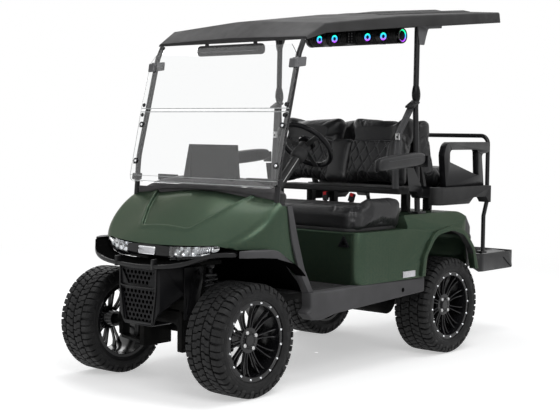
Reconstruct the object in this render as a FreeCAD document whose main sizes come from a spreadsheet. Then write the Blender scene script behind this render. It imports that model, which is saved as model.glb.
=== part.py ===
import FreeCAD, Part
import math
import os
import Sketcher

# The cart stands on z = 0 with its nose towards -Y. Its left side is +X.
# Driving sizes, in millimetres and degrees.
SIZES = {
    # Whole cart
    "overall_length": 2826.0,
    "front_overhang": 280.0,
    "wheelbase": 1669.0,
    "track_half": 454.5,
    "body_half_width": 580.0,
    # Wheels
    "tyre_radius": 275.0,
    "tyre_width": 220.0,
    "tread_corner": 14.0,
    "bead_width": 176.0,
    "rim_seat_radius": 182.0,
    "rim_wall": 7.0,
    "rim_lip_height": 14.0,
    "rim_lip_width": 10.0,
    "hub_radius": 40.0,
    "hub_inner_face": 20.0,
    "hub_cap_face": 66.0,
    "spoke_pairs": 10.0,
    "spoke_width": 9.0,
    "spoke_depth": 22.0,
    "spoke_spread": 9.0,
    "stub_radius": 15.0,
    "stub_reach": 48.0,
    "running_gap": 0.05,
    "fit_gap": 0.3,
    # Steering and front suspension
    "kingpin_x": 372.0,
    "kingpin_radius": 9.0,
    "upright_height": 144.0,
    "upright_width": 48.0,
    "upright_thick": 30.0,
    "arm_thick": 14.0,
    "arm_eye_radius": 20.0,
    "arm_base_half": 75.0,
    "arm_leg": 20.0,
    "subframe_half_width": 150.0,
    "subframe_bottom": 180.0,
    "subframe_leg": 30.0,
    "subframe_beam": 320.0,
    "steering_arm": 110.0,
    "steering_arm_thick": 14.0,
    "rack_radius": 9.0,
    "rack_housing_radius": 20.0,
    "rack_drop": 20.0,
    "rod_end_radius": 13.0,
    "shock_x": 250.0,
    "shock_radius": 34.0,
    "shock_rod_radius": 11.0,
    "tower_top": 640.0,
    # Frame
    "rail_bottom": 385.0,
    "rail_height": 70.0,
    "rail_width": 40.0,
    "rail_front_x": 165.0,
    "rail_rear_x": 250.0,
    "rail_front_reach": 107.0,
    "rail_rear_reach": 285.0,
    "member_width": 50.0,
    "arm_beam_height": 25.0,
    # Floor and side trims
    "floor_thick": 8.0,
    "sill_lap": 16.0,
    "floor_half_width": 500.0,
    "toe_knee": 400.0,
    "toe_top_y": 660.0,
    "toe_top_z": 700.0,
    "trim_wall": 4.0,
    "rocker_top": 467.0,
    "rocker_bottom_front": 344.0,
    "rocker_bottom_rear": 382.0,
    "rocker_outer_x": 565.0,
    "rocker_front": 475.0,
    "rocker_rear": 553.0,
    # Front end
    "panel_wall": 5.0,
    "cowl_top": 972.0,
    "cowl_shoulder": 925.0,
    "cowl_rear": 634.0,
    "nose_top": 703.0,
    "hood_edge_low": 706.0,
    "hood_edge_high": 722.0,
    "flare_top": 704.0,
    "nose_reach": 172.0,
    "flare_thick": 32.0,
    "flare_width": 74.0,
    "arch_top": 662.0,
    "lip_bottom": 618.0,
    "lip_height": 34.0,
    "lamp_depth": 45.0,
    "fascia_half_width": 140.0,
    "fascia_foot_half": 100.0,
    "fascia_bottom": 320.0,
    "fascia_front": 243.0,
    "fascia_wall": 6.0,
    "grille_thick": 5.0,
    "mesh_pitch": 24.0,
    "mesh_hole": 9.0,
    # Dash and screen
    "dash_top": 968.0,
    "dash_back": 565.0,
    "dash_bottom": 700.0,
    "hood_box_height": 1194.0,
    "strut_x": 500.0,
    "strut_radius": 14.0,
    "screen_thick": 5.0,
    "screen_half_width": 525.0,
    "screen_seam": 1371.0,
    "screen_bottom": 990.0,
    "screen_top": 1695.0,
    # Roof
    "roof_half_width": 560.0,
    "roof_wall": 6.0,
    "roof_front": 450.0,
    "roof_rear": 1340.0,
    "roof_front_z": 1730.0,
    "roof_mid_z": 1824.0,
    "roof_back_z": 1874.0,
    "roof_rear_z": 1926.0,
    "roof_band": 62.0,
    "roof_crown": 26.0,
    "sound_bar_radius": 46.0,
    "sound_bar_half": 341.0,
    "sound_bar_y": 619.0,
    "sound_bar_z": 1812.0,
    # Controls
    "wheel_x": 280.0,
    "wheel_y": 160.0,
    "wheel_z": 1195.0,
    "wheel_ring_radius": 149.5,
    "wheel_grip": 13.0,
    "column_length": 556.0,
    "column_radius": 24.0,
    "column_pin_radius": 8.0,
    "column_tilt": 45.0,
    # Rear body
    "body_top": 815.0,
    "seat_base_top": 742.0,
    "body_front": 50.0,
    "body_rear_reach": 315.0,
    "tumblehome": 50.0,
    "arch_foot": 440.0,
    "arch_top": 714.0,
    "arch_band": 28.0,
    "rear_arch_radius": 400.0,
    "battery_height": 220.0,
    # Front bench
    "bench_half": 528.0,
    "bench_front": 60.0,
    "bench_rear": 415.0,
    "bench_top": 862.0,
    "bolster_top": 915.0,
    "back_bottom": 955.0,
    "back_top": 1357.0,
    "back_front_low": 435.0,
    "back_front_high": 555.0,
    "back_thick": 100.0,
    "back_inner": 28.0,
    "back_outer": 470.0,
    "armrest_front": 80.0,
    "armrest_rear": 505.0,
    "armrest_bottom": 1060.0,
    "armrest_top": 1150.0,
    "armrest_inner": 538.0,
    "armrest_outer": 602.0,
    # Rear seat and step
    "deck_bottom": 920.0,
    "deck_thick": 25.0,
    "deck_half": 425.0,
    "deck_rear": 1335.0,
    "rear_cushion_half": 388.0,
    "rear_cushion_front": 925.0,
    "rear_cushion_rear": 1325.0,
    "rear_cushion_thick": 95.0,
    "rear_back_low": 856.0,
    "rear_back_high": 745.0,
    "side_frame_x": 432.0,
    "side_frame_thick": 42.0,
    "hoop_x": 453.0,
    "hoop_y": 1372.0,
    "hoop_top": 1262.0,
    "hoop_radius": 13.0,
    "step_top": 530.0,
    "step_half": 455.0,
    "step_front": 1150.0,
    "step_skirt": 110.0,
    "step_wall": 8.0,
    "tread_thick": 3.0,
}


class Size:
    """A number that carries the sheet expression it comes from."""

    def __init__(self, words, value):
        self.words = words
        self.value = value

    def _joined(self, sign, other, value):
        return Size(f"({self.words} {sign} {words_of(other)})", value)

    def __add__(self, other):
        return self._joined("+", other, self.value + number(other))

    def __sub__(self, other):
        return self._joined("-", other, self.value - number(other))

    def __mul__(self, other):
        return self._joined("*", other, self.value * number(other))

    def __truediv__(self, other):
        return self._joined("/", other, self.value / number(other))

    def __radd__(self, other):
        return plain(other) + self

    def __rsub__(self, other):
        return plain(other) - self

    def __rmul__(self, other):
        return plain(other) * self

    def __neg__(self):
        return Size(f"(-1 * {self.words})", -self.value)


def number(value):
    return value.value if isinstance(value, Size) else float(value)


def words_of(value):
    return value.words if isinstance(value, Size) else f"({float(value)})"


def plain(value):
    return Size(words_of(value), number(value))


class Sheet:
    """The spreadsheet of driving sizes, read back as Size values."""

    def __init__(self, document, sizes):
        self.cells = document.addObject("Spreadsheet::Sheet", "dims")
        for row, (name, value) in enumerate(sizes.items(), start=1):
            self.cells.set(f"A{row}", name)
            self.cells.set(f"B{row}", str(value))
            self.cells.setAlias(f"B{row}", name)
        document.recompute()

    def __getattr__(self, name):
        return Size(f"dims.{name}", float(self.cells.get(name)))


doc = FreeCAD.newDocument("golf_cart")
S = Sheet(doc, SIZES)

# Places that the whole cart shares
FRONT_AXLE = S.front_overhang - S.overall_length / 2
REAR_AXLE = FRONT_AXLE + S.wheelbase
MIDDLE = FRONT_AXLE + S.wheelbase / 2
AXLE_Z = S.tyre_radius
RAIL_TOP = S.rail_bottom + S.rail_height

PLANE_ROLES = {"XY": "XY_Plane", "XZ": "XZ_Plane", "YZ": "YZ_Plane"}
NODES = {}


def node(name, thing):
    """Name a finished sub-part."""
    thing.Label = name
    NODES[name] = thing
    return thing


def bind(thing, place, value):
    thing.setExpression(place, words_of(value))


def bind_base(thing, x=0, y=0, z=0):
    for axis, value in zip("xyz", (x, y, z)):
        bind(thing, f"Placement.Base.{axis}", value)


def corner_arc(spots, index, radius):
    """The arc that rounds one corner, where its runs meet it, and whether it turns left."""
    spot = spots[index]
    before = (spots[index - 1] - spot).normalize()
    after = (spots[(index + 1) % len(spots)] - spot).normalize()
    half_angle = before.getAngle(after) / 2
    reach = radius / math.tan(half_angle)
    inwards = (before + after).normalize()
    centre = spot + inwards * (radius / math.sin(half_angle))
    start, stop = spot + before * reach, spot + after * reach
    turns_left = (before * -1).cross(after).z > 0
    return Part.Arc(start, centre - inwards * radius, stop), start, stop, turns_left


def draw_outline(sketch, corners, closed=True):
    """Draw straight runs with rounded corners, each corner and radius bound to the sheet."""
    spots = [FreeCAD.Vector(number(c[0]), number(c[1]), 0) for c in corners]
    count = len(corners)
    starts, stops, arcs = list(spots), list(spots), {}
    for index, corner in enumerate(corners):
        if len(corner) > 2:
            arc, starts[index], stops[index], left = corner_arc(spots, index, number(corner[2]))
            arcs[index] = (arc, left)
    run_count = count if closed else count - 1
    first = sketch.GeometryCount
    for index in range(run_count):
        sketch.addGeometry(Part.LineSegment(stops[index], starts[(index + 1) % count]), False)
    rules, values = [], []

    def tie_spot(geometry, position, corner):
        for kind, value in (("DistanceX", corner[0]), ("DistanceY", corner[1])):
            values.append((len(rules), value))
            rules.append(Sketcher.Constraint(kind, -1, 1, geometry, position, number(value)))

    for index, corner in enumerate(corners):
        run_in = first + (index - 1) % count
        run_out = first + index
        if index in arcs:
            arc, left = arcs[index]
            arc_id = sketch.addGeometry(arc, False)
            mark = sketch.addGeometry(Part.Point(spots[index]), True)
            begin, end = (1, 2) if left else (2, 1)
            tie_spot(mark, 1, corner)
            rules.append(Sketcher.Constraint("PointOnObject", mark, 1, run_in))
            rules.append(Sketcher.Constraint("PointOnObject", mark, 1, run_out))
            rules.append(Sketcher.Constraint("Tangent", run_in, 2, arc_id, begin))
            rules.append(Sketcher.Constraint("Tangent", arc_id, end, run_out, 1))
            values.append((len(rules), corner[2]))
            rules.append(Sketcher.Constraint("Radius", arc_id, number(corner[2])))
        elif index < run_count:
            tie_spot(run_out, 1, corner)
            if closed or index > 0:
                rules.append(Sketcher.Constraint("Coincident", run_in, 2, run_out, 1))
        else:
            tie_spot(run_in, 2, corner)
    base = sketch.ConstraintCount
    sketch.addConstraint(rules)
    for index, value in values:
        if isinstance(value, Size):
            bind(sketch, f"Constraints[{base + index}]", value)


def draw_circle(sketch, centre_u, centre_v, radius):
    """Draw a circle bound to the sheet."""
    centre = FreeCAD.Vector(number(centre_u), number(centre_v), 0)
    ring = sketch.addGeometry(Part.Circle(centre, FreeCAD.Vector(0, 0, 1), number(radius)), False)
    base = sketch.ConstraintCount
    sketch.addConstraint([
        Sketcher.Constraint("DistanceX", -1, 1, ring, 3, centre.x),
        Sketcher.Constraint("DistanceY", -1, 1, ring, 3, centre.y),
        Sketcher.Constraint("Radius", ring, number(radius)),
    ])
    for index, value in enumerate((centre_u, centre_v, radius)):
        if isinstance(value, Size):
            bind(sketch, f"Constraints[{base + index}]", value)


class Piece:
    """A body built up from sketched features."""

    def __init__(self, name):
        self.name = name
        self.body = doc.addObject("PartDesign::Body", name)

    def origin(self, role):
        return next(f for f in self.body.Origin.OriginFeatures if f.Role == role)

    def sketch(self, plane, offset, corners, closed=True):
        sketch = self.body.newObject("Sketcher::SketchObject", f"{self.name}_outline")
        sketch.AttachmentSupport = [(self.origin(PLANE_ROLES[plane]), "")]
        sketch.MapMode = "FlatFace"
        bind(sketch, "AttachmentOffset.Base.z", offset)
        if corners:
            draw_outline(sketch, corners, closed)
        return sketch

    def pad(self, plane, corners, low, high):
        """Fill an outline between two places along the plane's axis."""
        offset = -plain(high) if plane == "XZ" else low
        sketch = self.sketch(plane, offset, corners)
        feature = self.body.newObject("PartDesign::Pad", f"{self.name}_pad")
        feature.Profile = sketch
        bind(feature, "Length", plain(high) - low)
        return self

    def pocket(self, plane, corners, low, high):
        """Cut an outline away between two places along the plane's axis."""
        offset = -plain(low) if plane == "XZ" else high
        sketch = self.sketch(plane, offset, corners)
        feature = self.body.newObject("PartDesign::Pocket", f"{self.name}_pocket")
        feature.Profile = sketch
        bind(feature, "Length", plain(high) - low)
        return self

    def revolve(self, corners):
        """Turn an outline, drawn as distance along X and radius, about the X axis."""
        sketch = self.sketch("XZ", 0, corners)
        feature = self.body.newObject("PartDesign::Revolution", f"{self.name}_turned")
        feature.Profile = sketch
        feature.ReferenceAxis = (sketch, ["H_Axis"])
        feature.Angle = 360
        return self

    def around_x(self, copies):
        """Repeat the last feature around the X axis."""
        last = self.body.Tip
        feature = self.body.newObject("PartDesign::PolarPattern", f"{self.name}_ring")
        feature.Originals = [last]
        feature.Axis = (self.origin("X_Axis"), [""])
        feature.Angle = 360
        bind(feature, "Occurrences", copies)
        self.body.Tip = feature
        return self

    def pipe(self, plane, offset, corners, radius):
        """Sweep a round section along a path that starts upwards."""
        path = self.sketch(plane, offset, corners, closed=False)
        u, v = corners[0][:2]
        round_end = self.sketch("XY", v, None)
        if plane == "XZ":
            draw_circle(round_end, u, -plain(offset), radius)
        else:
            draw_circle(round_end, offset, u, radius)
        feature = self.body.newObject("PartDesign::AdditivePipe", f"{self.name}_pipe")
        feature.Profile = round_end
        feature.Spine = path
        return self

    def soften(self, radius, wanted):
        """Round the edges that pass a test."""
        doc.recompute()
        tip = self.body.Tip
        names = [f"Edge{i + 1}" for i, edge in enumerate(tip.Shape.Edges) if wanted(edge)]
        feature = self.body.newObject("PartDesign::Fillet", f"{self.name}_soft")
        feature.Base = (tip, names)
        bind(feature, "Radius", radius)
        return self


def slab(name, plane, corners, low, high):
    """A one-feature body: an outline padded between two places."""
    return Piece(name).pad(plane, corners, low, high).body


def block(name, x, y, z):
    """A box between three pairs of places."""
    box = doc.addObject("Part::Box", name)
    for side, (low, high) in zip(("Length", "Width", "Height"), (x, y, z)):
        bind(box, side, plain(high) - low)
    bind_base(box, x[0], y[0], z[0])
    return box


TURNS = {
    "X": FreeCAD.Rotation(FreeCAD.Vector(0, 1, 0), 90),
    "Y": FreeCAD.Rotation(FreeCAD.Vector(1, 0, 0), -90),
    "Z": FreeCAD.Rotation(),
}


def rod(name, axis, start, length, radius):
    """A cylinder that runs along one axis from its start."""
    cylinder = doc.addObject("Part::Cylinder", name)
    cylinder.Placement = FreeCAD.Placement(FreeCAD.Vector(), TURNS[axis])
    bind(cylinder, "Radius", radius)
    bind(cylinder, "Height", length)
    bind_base(cylinder, *start)
    return cylinder


def slanted_rod(name, start, end, radius):
    """A cylinder between two places."""
    low = FreeCAD.Vector(*[number(v) for v in start])
    high = FreeCAD.Vector(*[number(v) for v in end])
    cylinder = doc.addObject("Part::Feature", name)
    cylinder.Shape = Part.makeCylinder(number(radius), (high - low).Length, low, high - low)
    return cylinder


def ball(name, centre, radius):
    sphere = doc.addObject("Part::Sphere", name)
    bind(sphere, "Radius", radius)
    bind_base(sphere, *centre)
    return sphere


def cut(name, base, *tools):
    """The base with the tools taken away."""
    if len(tools) > 1:
        tool = fuse(f"{name}_tools", *tools)
    else:
        tool = tools[0]
    result = doc.addObject("Part::Cut", name)
    result.Base, result.Tool = base, tool
    return result


def fuse(name, *things):
    result = doc.addObject("Part::MultiFuse", name)
    result.Shapes = list(things)
    result.Refine = True
    return result


def common(name, *things):
    result = doc.addObject("Part::MultiCommon", name)
    result.Shapes = list(things)
    return result


def mirrored(name, thing):
    """The same piece on the other side."""
    result = doc.addObject("Part::Mirroring", name)
    result.Source = thing
    result.Normal = FreeCAD.Vector(1, 0, 0)
    return result


def both_sides(name, *things):
    """A node with the things on the left side and their mirror images."""
    left = fuse(f"{name}_left", *things) if len(things) > 1 else things[0]
    return fuse(name, left, mirrored(f"{name}_right", left))


def section(name, y, corners):
    """An upright cross-section at one place along the cart."""
    sketch = doc.addObject("Sketcher::SketchObject", name)
    sketch.Placement = FreeCAD.Placement(
        FreeCAD.Vector(), FreeCAD.Rotation(FreeCAD.Vector(1, 0, 0), 90))
    bind_base(sketch, 0, y, 0)
    draw_outline(sketch, corners)
    return sketch


def loft(name, sections, ruled=False):
    """A solid through cross-sections."""
    result = doc.addObject("Part::Loft", name)
    result.Sections = sections
    result.Solid = True
    result.Ruled = ruled
    return result


def oblong(u_low, u_high, v_low, v_high, radius):
    """The corners of a rounded rectangle."""
    return [(u_low, v_low, radius), (u_high, v_low, radius),
            (u_high, v_high, radius), (u_low, v_high, radius)]


# Chassis

def make_frame():
    """Two rails, narrow between the front wheels, with the members that join them."""
    half = S.rail_width / 2
    front = FRONT_AXLE - S.rail_front_reach
    rear = REAR_AXLE + S.rail_rear_reach
    bend_front, bend_rear, bend = FRONT_AXLE + 260, FRONT_AXLE + 440, 60
    outline = [
        (S.rail_front_x - half, front), (S.rail_front_x + half, front),
        (S.rail_front_x + half, bend_front, bend), (S.rail_rear_x + half, bend_rear, bend),
        (S.rail_rear_x + half, rear), (S.rail_rear_x - half, rear),
        (S.rail_rear_x - half, bend_rear, bend), (S.rail_front_x - half, bend_front, bend),
    ]
    left = slab("rail_left", "XY", outline, S.rail_bottom, RAIL_TOP)
    node("frame_rails", both_sides("frame_rails", left))

    inset = 10
    plate_front = front - 10 + S.fit_gap
    parts = [block("nose_plate", (-185, 185), (plate_front, front),
                   (S.rail_bottom + inset, RAIL_TOP - inset))]
    places = {
        "nose_member": (front + 4, S.rail_front_x - half),
        "seat_member": (MIDDLE - 30, S.rail_rear_x - half),
        "spring_member": (REAR_AXLE - 360, S.rail_rear_x - half),
        "tail_member": (rear - S.member_width - 20, S.rail_rear_x - half),
    }
    for name, (y, reach) in places.items():
        parts.append(block(name, (-reach, reach), (y, y + S.member_width),
                           (S.rail_bottom + inset, RAIL_TOP - inset)))
    upright = block("tower_post", (S.rail_rear_x - 15, S.rail_rear_x + 15),
                    (REAR_AXLE + 90, REAR_AXLE + 130), (RAIL_TOP, S.tower_top - 30))
    other = mirrored("tower_post_right", upright)
    bar = block("tower_bar", (-335, 335), (REAR_AXLE + 85, REAR_AXLE + 135),
                (S.tower_top - 30, S.tower_top))
    parts.append(fuse("rear_tower", upright, other, bar))
    step_arm = block("step_arm", (S.rail_rear_x - half + 2, S.rail_rear_x + half - 2),
                     (REAR_AXLE + 150, REAR_AXLE + 800),
                     (RAIL_TOP, RAIL_TOP + S.arm_beam_height))
    parts += [step_arm, mirrored("step_arm_right", step_arm)]
    node("cross_members", fuse("cross_members", *parts))


def toe_board(y):
    """The height of the toe board's upper face at a place ahead of the knee."""
    high = RAIL_TOP + S.floor_thick
    top = S.toe_top_z + S.floor_thick * 1.4
    return high + (top - high) * (plain(y) - S.toe_knee) / (S.toe_top_y - S.toe_knee)


def make_floor():
    """The footwell floor, bent up into the toe board, its edges lapping under the rockers."""
    low, high = RAIL_TOP, RAIL_TOP + S.floor_thick
    corners = [
        (MIDDLE - S.body_front, low), (MIDDLE - S.body_front, high),
        (MIDDLE - S.toe_knee, high, 60), (MIDDLE - S.toe_top_y, toe_board(S.toe_top_y)),
        (MIDDLE - S.toe_top_y, S.toe_top_z), (MIDDLE - S.toe_knee - 3, low, 60),
    ]
    lap = S.floor_half_width + S.sill_lap
    sheet = slab("floor_sheet", "YZ", corners, -lap, lap)
    half, step = S.floor_half_width, MIDDLE - 360
    plan = slab("floor_plan", "XY", [
        (-half, MIDDLE - 700), (half, MIDDLE - 700), (half, step), (lap, step), (lap, MIDDLE),
        (-lap, MIDDLE), (-lap, step), (-half, step),
    ], low - 10, S.toe_top_z + 40)
    node("floor_pan", common("floor_pan", sheet, plan))


def make_side_trims():
    """A hollow rocker under each door opening, and the edge trim that rises to the dash."""
    rear, front = MIDDLE + S.rocker_rear, MIDDLE - S.rocker_front
    wall = S.trim_wall
    low = S.rocker_bottom_front
    outline = [
        (front, low + 26, 8), (MIDDLE - 428, low - 14, 20), (MIDDLE - 349, low - 21, 120),
        (MIDDLE - 236, low, 60), (rear, S.rocker_bottom_rear, 10), (rear, S.rocker_top, 10),
        (MIDDLE - 440, S.rocker_top), (MIDDLE - 436, low + 44, 20),
    ]
    inner = [
        (MIDDLE - 428, low + 30, 14), (MIDDLE - 410, low - 12 + wall, 12),
        (MIDDLE - 349, low - 21 + wall, 120), (MIDDLE - 236, low + wall, 60),
        (rear - wall, S.rocker_bottom_rear + wall, 6), (rear - wall, S.rocker_top - wall),
        (MIDDLE - 434, S.rocker_top - wall),
    ]
    rocker = Piece("rocker")
    rocker.pad("YZ", outline, S.floor_half_width, S.rocker_outer_x)
    rocker.soften(12, lambda edge: edge.BoundBox.XMin > number(S.rocker_outer_x) - 0.1)
    rocker.pocket("YZ", inner, S.floor_half_width, S.rocker_outer_x - wall)
    edge_trim = [
        (MIDDLE - 405, S.rocker_top + 0.5), (MIDDLE - 477, 591, 200), (MIDDLE - 525, 733, 300),
        (MIDDLE - 575, 905), (MIDDLE - 608, 905), (MIDDLE - 572, 733, 300),
        (MIDDLE - 519, 591, 200), (MIDDLE - 440, S.rocker_top + 0.5),
    ]
    trim = Piece("cowl_trim")
    trim.pad("YZ", edge_trim, S.floor_half_width, 548)
    node("side_trims", both_sides("side_trims", rocker.body, trim.body))


def make_battery():
    low = RAIL_TOP
    node("battery_pack", block("battery_pack", (-300, 300), (MIDDLE + 20, MIDDLE + 330),
                               (low, low + S.battery_height)))


# Wheels and axles

def make_wheel(corner, side, axle_y):
    """A spoked rim and its tyre, drawn about the X axis and placed on the axle."""
    seat = S.rim_seat_radius
    edge = S.bead_width / 2
    lip = edge + S.rim_lip_width
    inner = seat - S.rim_wall
    bore = S.stub_radius + S.running_gap
    rim = Piece(f"rim_{corner}")
    rim.revolve([
        (lip, inner - 2), (lip, seat + S.rim_lip_height), (edge, seat + S.rim_lip_height),
        (edge, seat), (-edge, seat), (-edge, seat + S.rim_lip_height),
        (-lip, seat + S.rim_lip_height), (-lip, inner), (lip - 24, inner),
    ])
    rim.revolve([
        (-S.hub_inner_face, bore), (-S.hub_inner_face, S.hub_radius),
        (S.hub_cap_face - 6, S.hub_radius + 14), (S.hub_cap_face, S.hub_radius), (S.hub_cap_face, 0),
        (S.stub_reach + 2, 0), (S.stub_reach + 2, bore),
    ])
    half = S.spoke_width / 2
    root, tip = S.hub_radius + 4, inner + S.rim_wall / 2
    spread = S.spoke_spread
    rim.pad("YZ", [
        (spread - half - 3, root), (spread + half - 3, root),
        (spread + half + 12, tip), (spread - half + 12, tip),
    ], S.hub_cap_face - 6 - S.spoke_depth, S.hub_cap_face - 6)
    rim.around_x(S.spoke_pairs)
    rim.pad("YZ", [
        (-spread - half + 3, root), (-spread + half + 3, root),
        (-spread + half - 12, tip), (-spread - half - 12, tip),
    ], S.hub_cap_face - 6 - S.spoke_depth, S.hub_cap_face - 6)
    rim.around_x(S.spoke_pairs)

    bead = seat + S.fit_gap
    foot = seat + S.rim_lip_height + S.fit_gap
    wide = S.tyre_width / 2
    tyre = Piece(f"tyre_{corner}")
    tyre.revolve([
        (edge - S.fit_gap, bead), (edge - S.fit_gap, foot), (lip + 2, foot),
        (wide, foot + 26, 14), (wide, S.tyre_radius - 22), (wide - 16, S.tyre_radius, S.tread_corner),
        (16 - wide, S.tyre_radius, S.tread_corner), (-wide, S.tyre_radius - 22), (-wide, foot + 26, 14),
        (-lip - 2, foot), (S.fit_gap - edge, foot), (S.fit_gap - edge, bead),
    ])
    turn = 0 if side > 0 else 180
    for piece in (rim, tyre):
        piece.body.Placement = FreeCAD.Placement(
            FreeCAD.Vector(), FreeCAD.Rotation(FreeCAD.Vector(0, 0, 1), turn))
        bind_base(piece.body, side * S.track_half, axle_y, AXLE_Z)
        node(piece.name, piece.body)


def make_knuckle(name, side):
    """A steered upright with its kingpin ends, axle stub and steering arm."""
    x = S.kingpin_x
    half = S.upright_thick / 2
    low, high = AXLE_Z - S.upright_height / 2, AXLE_Z + S.upright_height / 2
    pin = S.arm_thick + 4
    stub_end = S.track_half + S.stub_reach
    upright = slab(f"{name}_upright", "YZ", oblong(
        FRONT_AXLE - S.upright_width / 2, FRONT_AXLE + S.upright_width / 2, low, high, 10),
        x - half, x + half)
    kingpin = rod(f"{name}_kingpin", "Z", (x, FRONT_AXLE, low - pin),
                  S.upright_height + pin * 2, S.kingpin_radius)
    stub = rod(f"{name}_stub", "X", (x, FRONT_AXLE, AXLE_Z), stub_end - x, S.stub_radius)
    collar_end = S.track_half - S.hub_inner_face - 1
    collar = rod(f"{name}_collar", "X", (x, FRONT_AXLE, AXLE_Z), collar_end - x, 26)
    tip = FRONT_AXLE + S.steering_arm
    arm_low = AXLE_Z - S.rack_drop + S.rod_end_radius + 3
    arm = slab(f"{name}_arm", "XY", [
        (x - half, FRONT_AXLE), (x + half, FRONT_AXLE), (x + half - 2, tip + 14, 13),
        (x - half + 2, tip + 14, 13)], arm_low, arm_low + S.steering_arm_thick)
    whole = fuse(f"{name}_whole", upright, kingpin, stub, collar, arm)
    node(name, whole if side > 0 else mirrored(f"{name}_other", whole))


def make_front_suspension():
    """The subframe with two arms a side, the steering rack housing and the shock towers."""
    pivot_x, eye_x = S.subframe_half_width, S.kingpin_x
    low = AXLE_Z - S.upright_height / 2 - 0.5
    high = AXLE_Z + S.upright_height / 2 + 0.5
    base, leg = S.arm_base_half, S.arm_leg
    bore = S.kingpin_radius + S.running_gap

    def arm(name, bottom, with_seat):
        outer = [
            (pivot_x - 5, FRONT_AXLE - base - leg / 2), (eye_x, FRONT_AXLE - S.arm_eye_radius, 6),
            (eye_x + S.arm_eye_radius - 2, FRONT_AXLE, 16),
            (eye_x, FRONT_AXLE + S.arm_eye_radius, 6), (pivot_x - 5, FRONT_AXLE + base + leg / 2),
        ]
        piece = Piece(name).pad("XY", outer, bottom, bottom + S.arm_thick)
        if not with_seat:
            window = [
                (pivot_x + 8, FRONT_AXLE - base + leg / 2, 6), (eye_x - 66, FRONT_AXLE - 22, 6),
                (eye_x - 66, FRONT_AXLE + 22, 6), (pivot_x + 8, FRONT_AXLE + base - leg / 2, 6),
            ]
            piece.pocket("XY", window, bottom - 1, bottom + S.arm_thick + 1)
        hole = piece.sketch("XY", bottom + S.arm_thick + 1, None)
        draw_circle(hole, eye_x, FRONT_AXLE, bore)
        feature = piece.body.newObject("PartDesign::Pocket", f"{name}_eye")
        feature.Profile = hole
        bind(feature, "Length", S.arm_thick + 2)
        return piece.body

    lower = arm("lower_arm", low - S.arm_thick, True)
    upper = arm("upper_arm", high, False)
    subframe_block = slab("subframe_block", "YZ", oblong(
        FRONT_AXLE - base - leg, FRONT_AXLE + base + leg, S.subframe_bottom, S.rail_bottom, 8),
        -pivot_x, pivot_x)
    window = slab("subframe_window", "XZ", [
        (S.subframe_leg - pivot_x, S.subframe_bottom - 1),
        (S.subframe_leg - pivot_x, S.subframe_beam, 30), (pivot_x - S.subframe_leg, S.subframe_beam, 30),
        (pivot_x - S.subframe_leg, S.subframe_bottom - 1),
    ], FRONT_AXLE - base - leg - 1, FRONT_AXLE + base + leg + 1)
    subframe = cut("subframe", subframe_block, window)
    rack_y, rack_z = FRONT_AXLE + S.steering_arm, AXLE_Z - S.rack_drop
    housing_half = S.subframe_half_width - 10
    housing = rod("rack_housing", "X", (-housing_half, rack_y, rack_z), housing_half * 2,
                  S.rack_housing_radius)
    rack_bore = rod("rack_bore", "X", (-housing_half - 1, rack_y, rack_z), housing_half * 2 + 2,
                    S.rack_radius + S.running_gap)
    carrier = fuse("front_carrier", subframe, lower, upper, mirrored("lower_arm_right", lower),
                   mirrored("upper_arm_right", upper), housing)
    carrier_bored = cut("front_carrier_bored", carrier, rack_bore)
    post_in, post_out = S.rail_front_x - 15, S.rail_front_x + 20
    tower = slab("front_tower", "XZ", [
        (post_in, RAIL_TOP), (post_out, RAIL_TOP), (post_out, S.tower_top - 20, 15),
        (S.shock_x + 40, S.tower_top - 20), (S.shock_x + 40, S.tower_top), (post_in, S.tower_top),
    ], FRONT_AXLE - 35, FRONT_AXLE + 35)
    node("front_suspension", fuse("front_suspension", carrier_bored, tower,
                                  mirrored("front_tower_right", tower)))

    shock_low, shock_high = low, S.tower_top - 20
    coil = rod("front_coil", "Z", (S.shock_x, FRONT_AXLE, shock_low + 90),
               shock_high - shock_low - 130, S.shock_radius)
    damper = rod("front_damper", "Z", (S.shock_x, FRONT_AXLE, shock_low),
                 shock_high - shock_low, S.shock_rod_radius)
    cap = rod("front_shock_cap", "Z", (S.shock_x, FRONT_AXLE, shock_high - 26), plain(14), 26)
    node("front_shocks", both_sides("front_shocks", coil, damper, cap))

    reach = S.kingpin_x - 6
    bar = rod("rack_bar", "X", (-reach, rack_y, rack_z), reach * 2, S.rack_radius)
    end = ball("rod_end", (reach, rack_y, rack_z), S.rod_end_radius)
    node("rack_rods", fuse("rack_rods", bar, end, mirrored("rod_end_right", end)))


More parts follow.
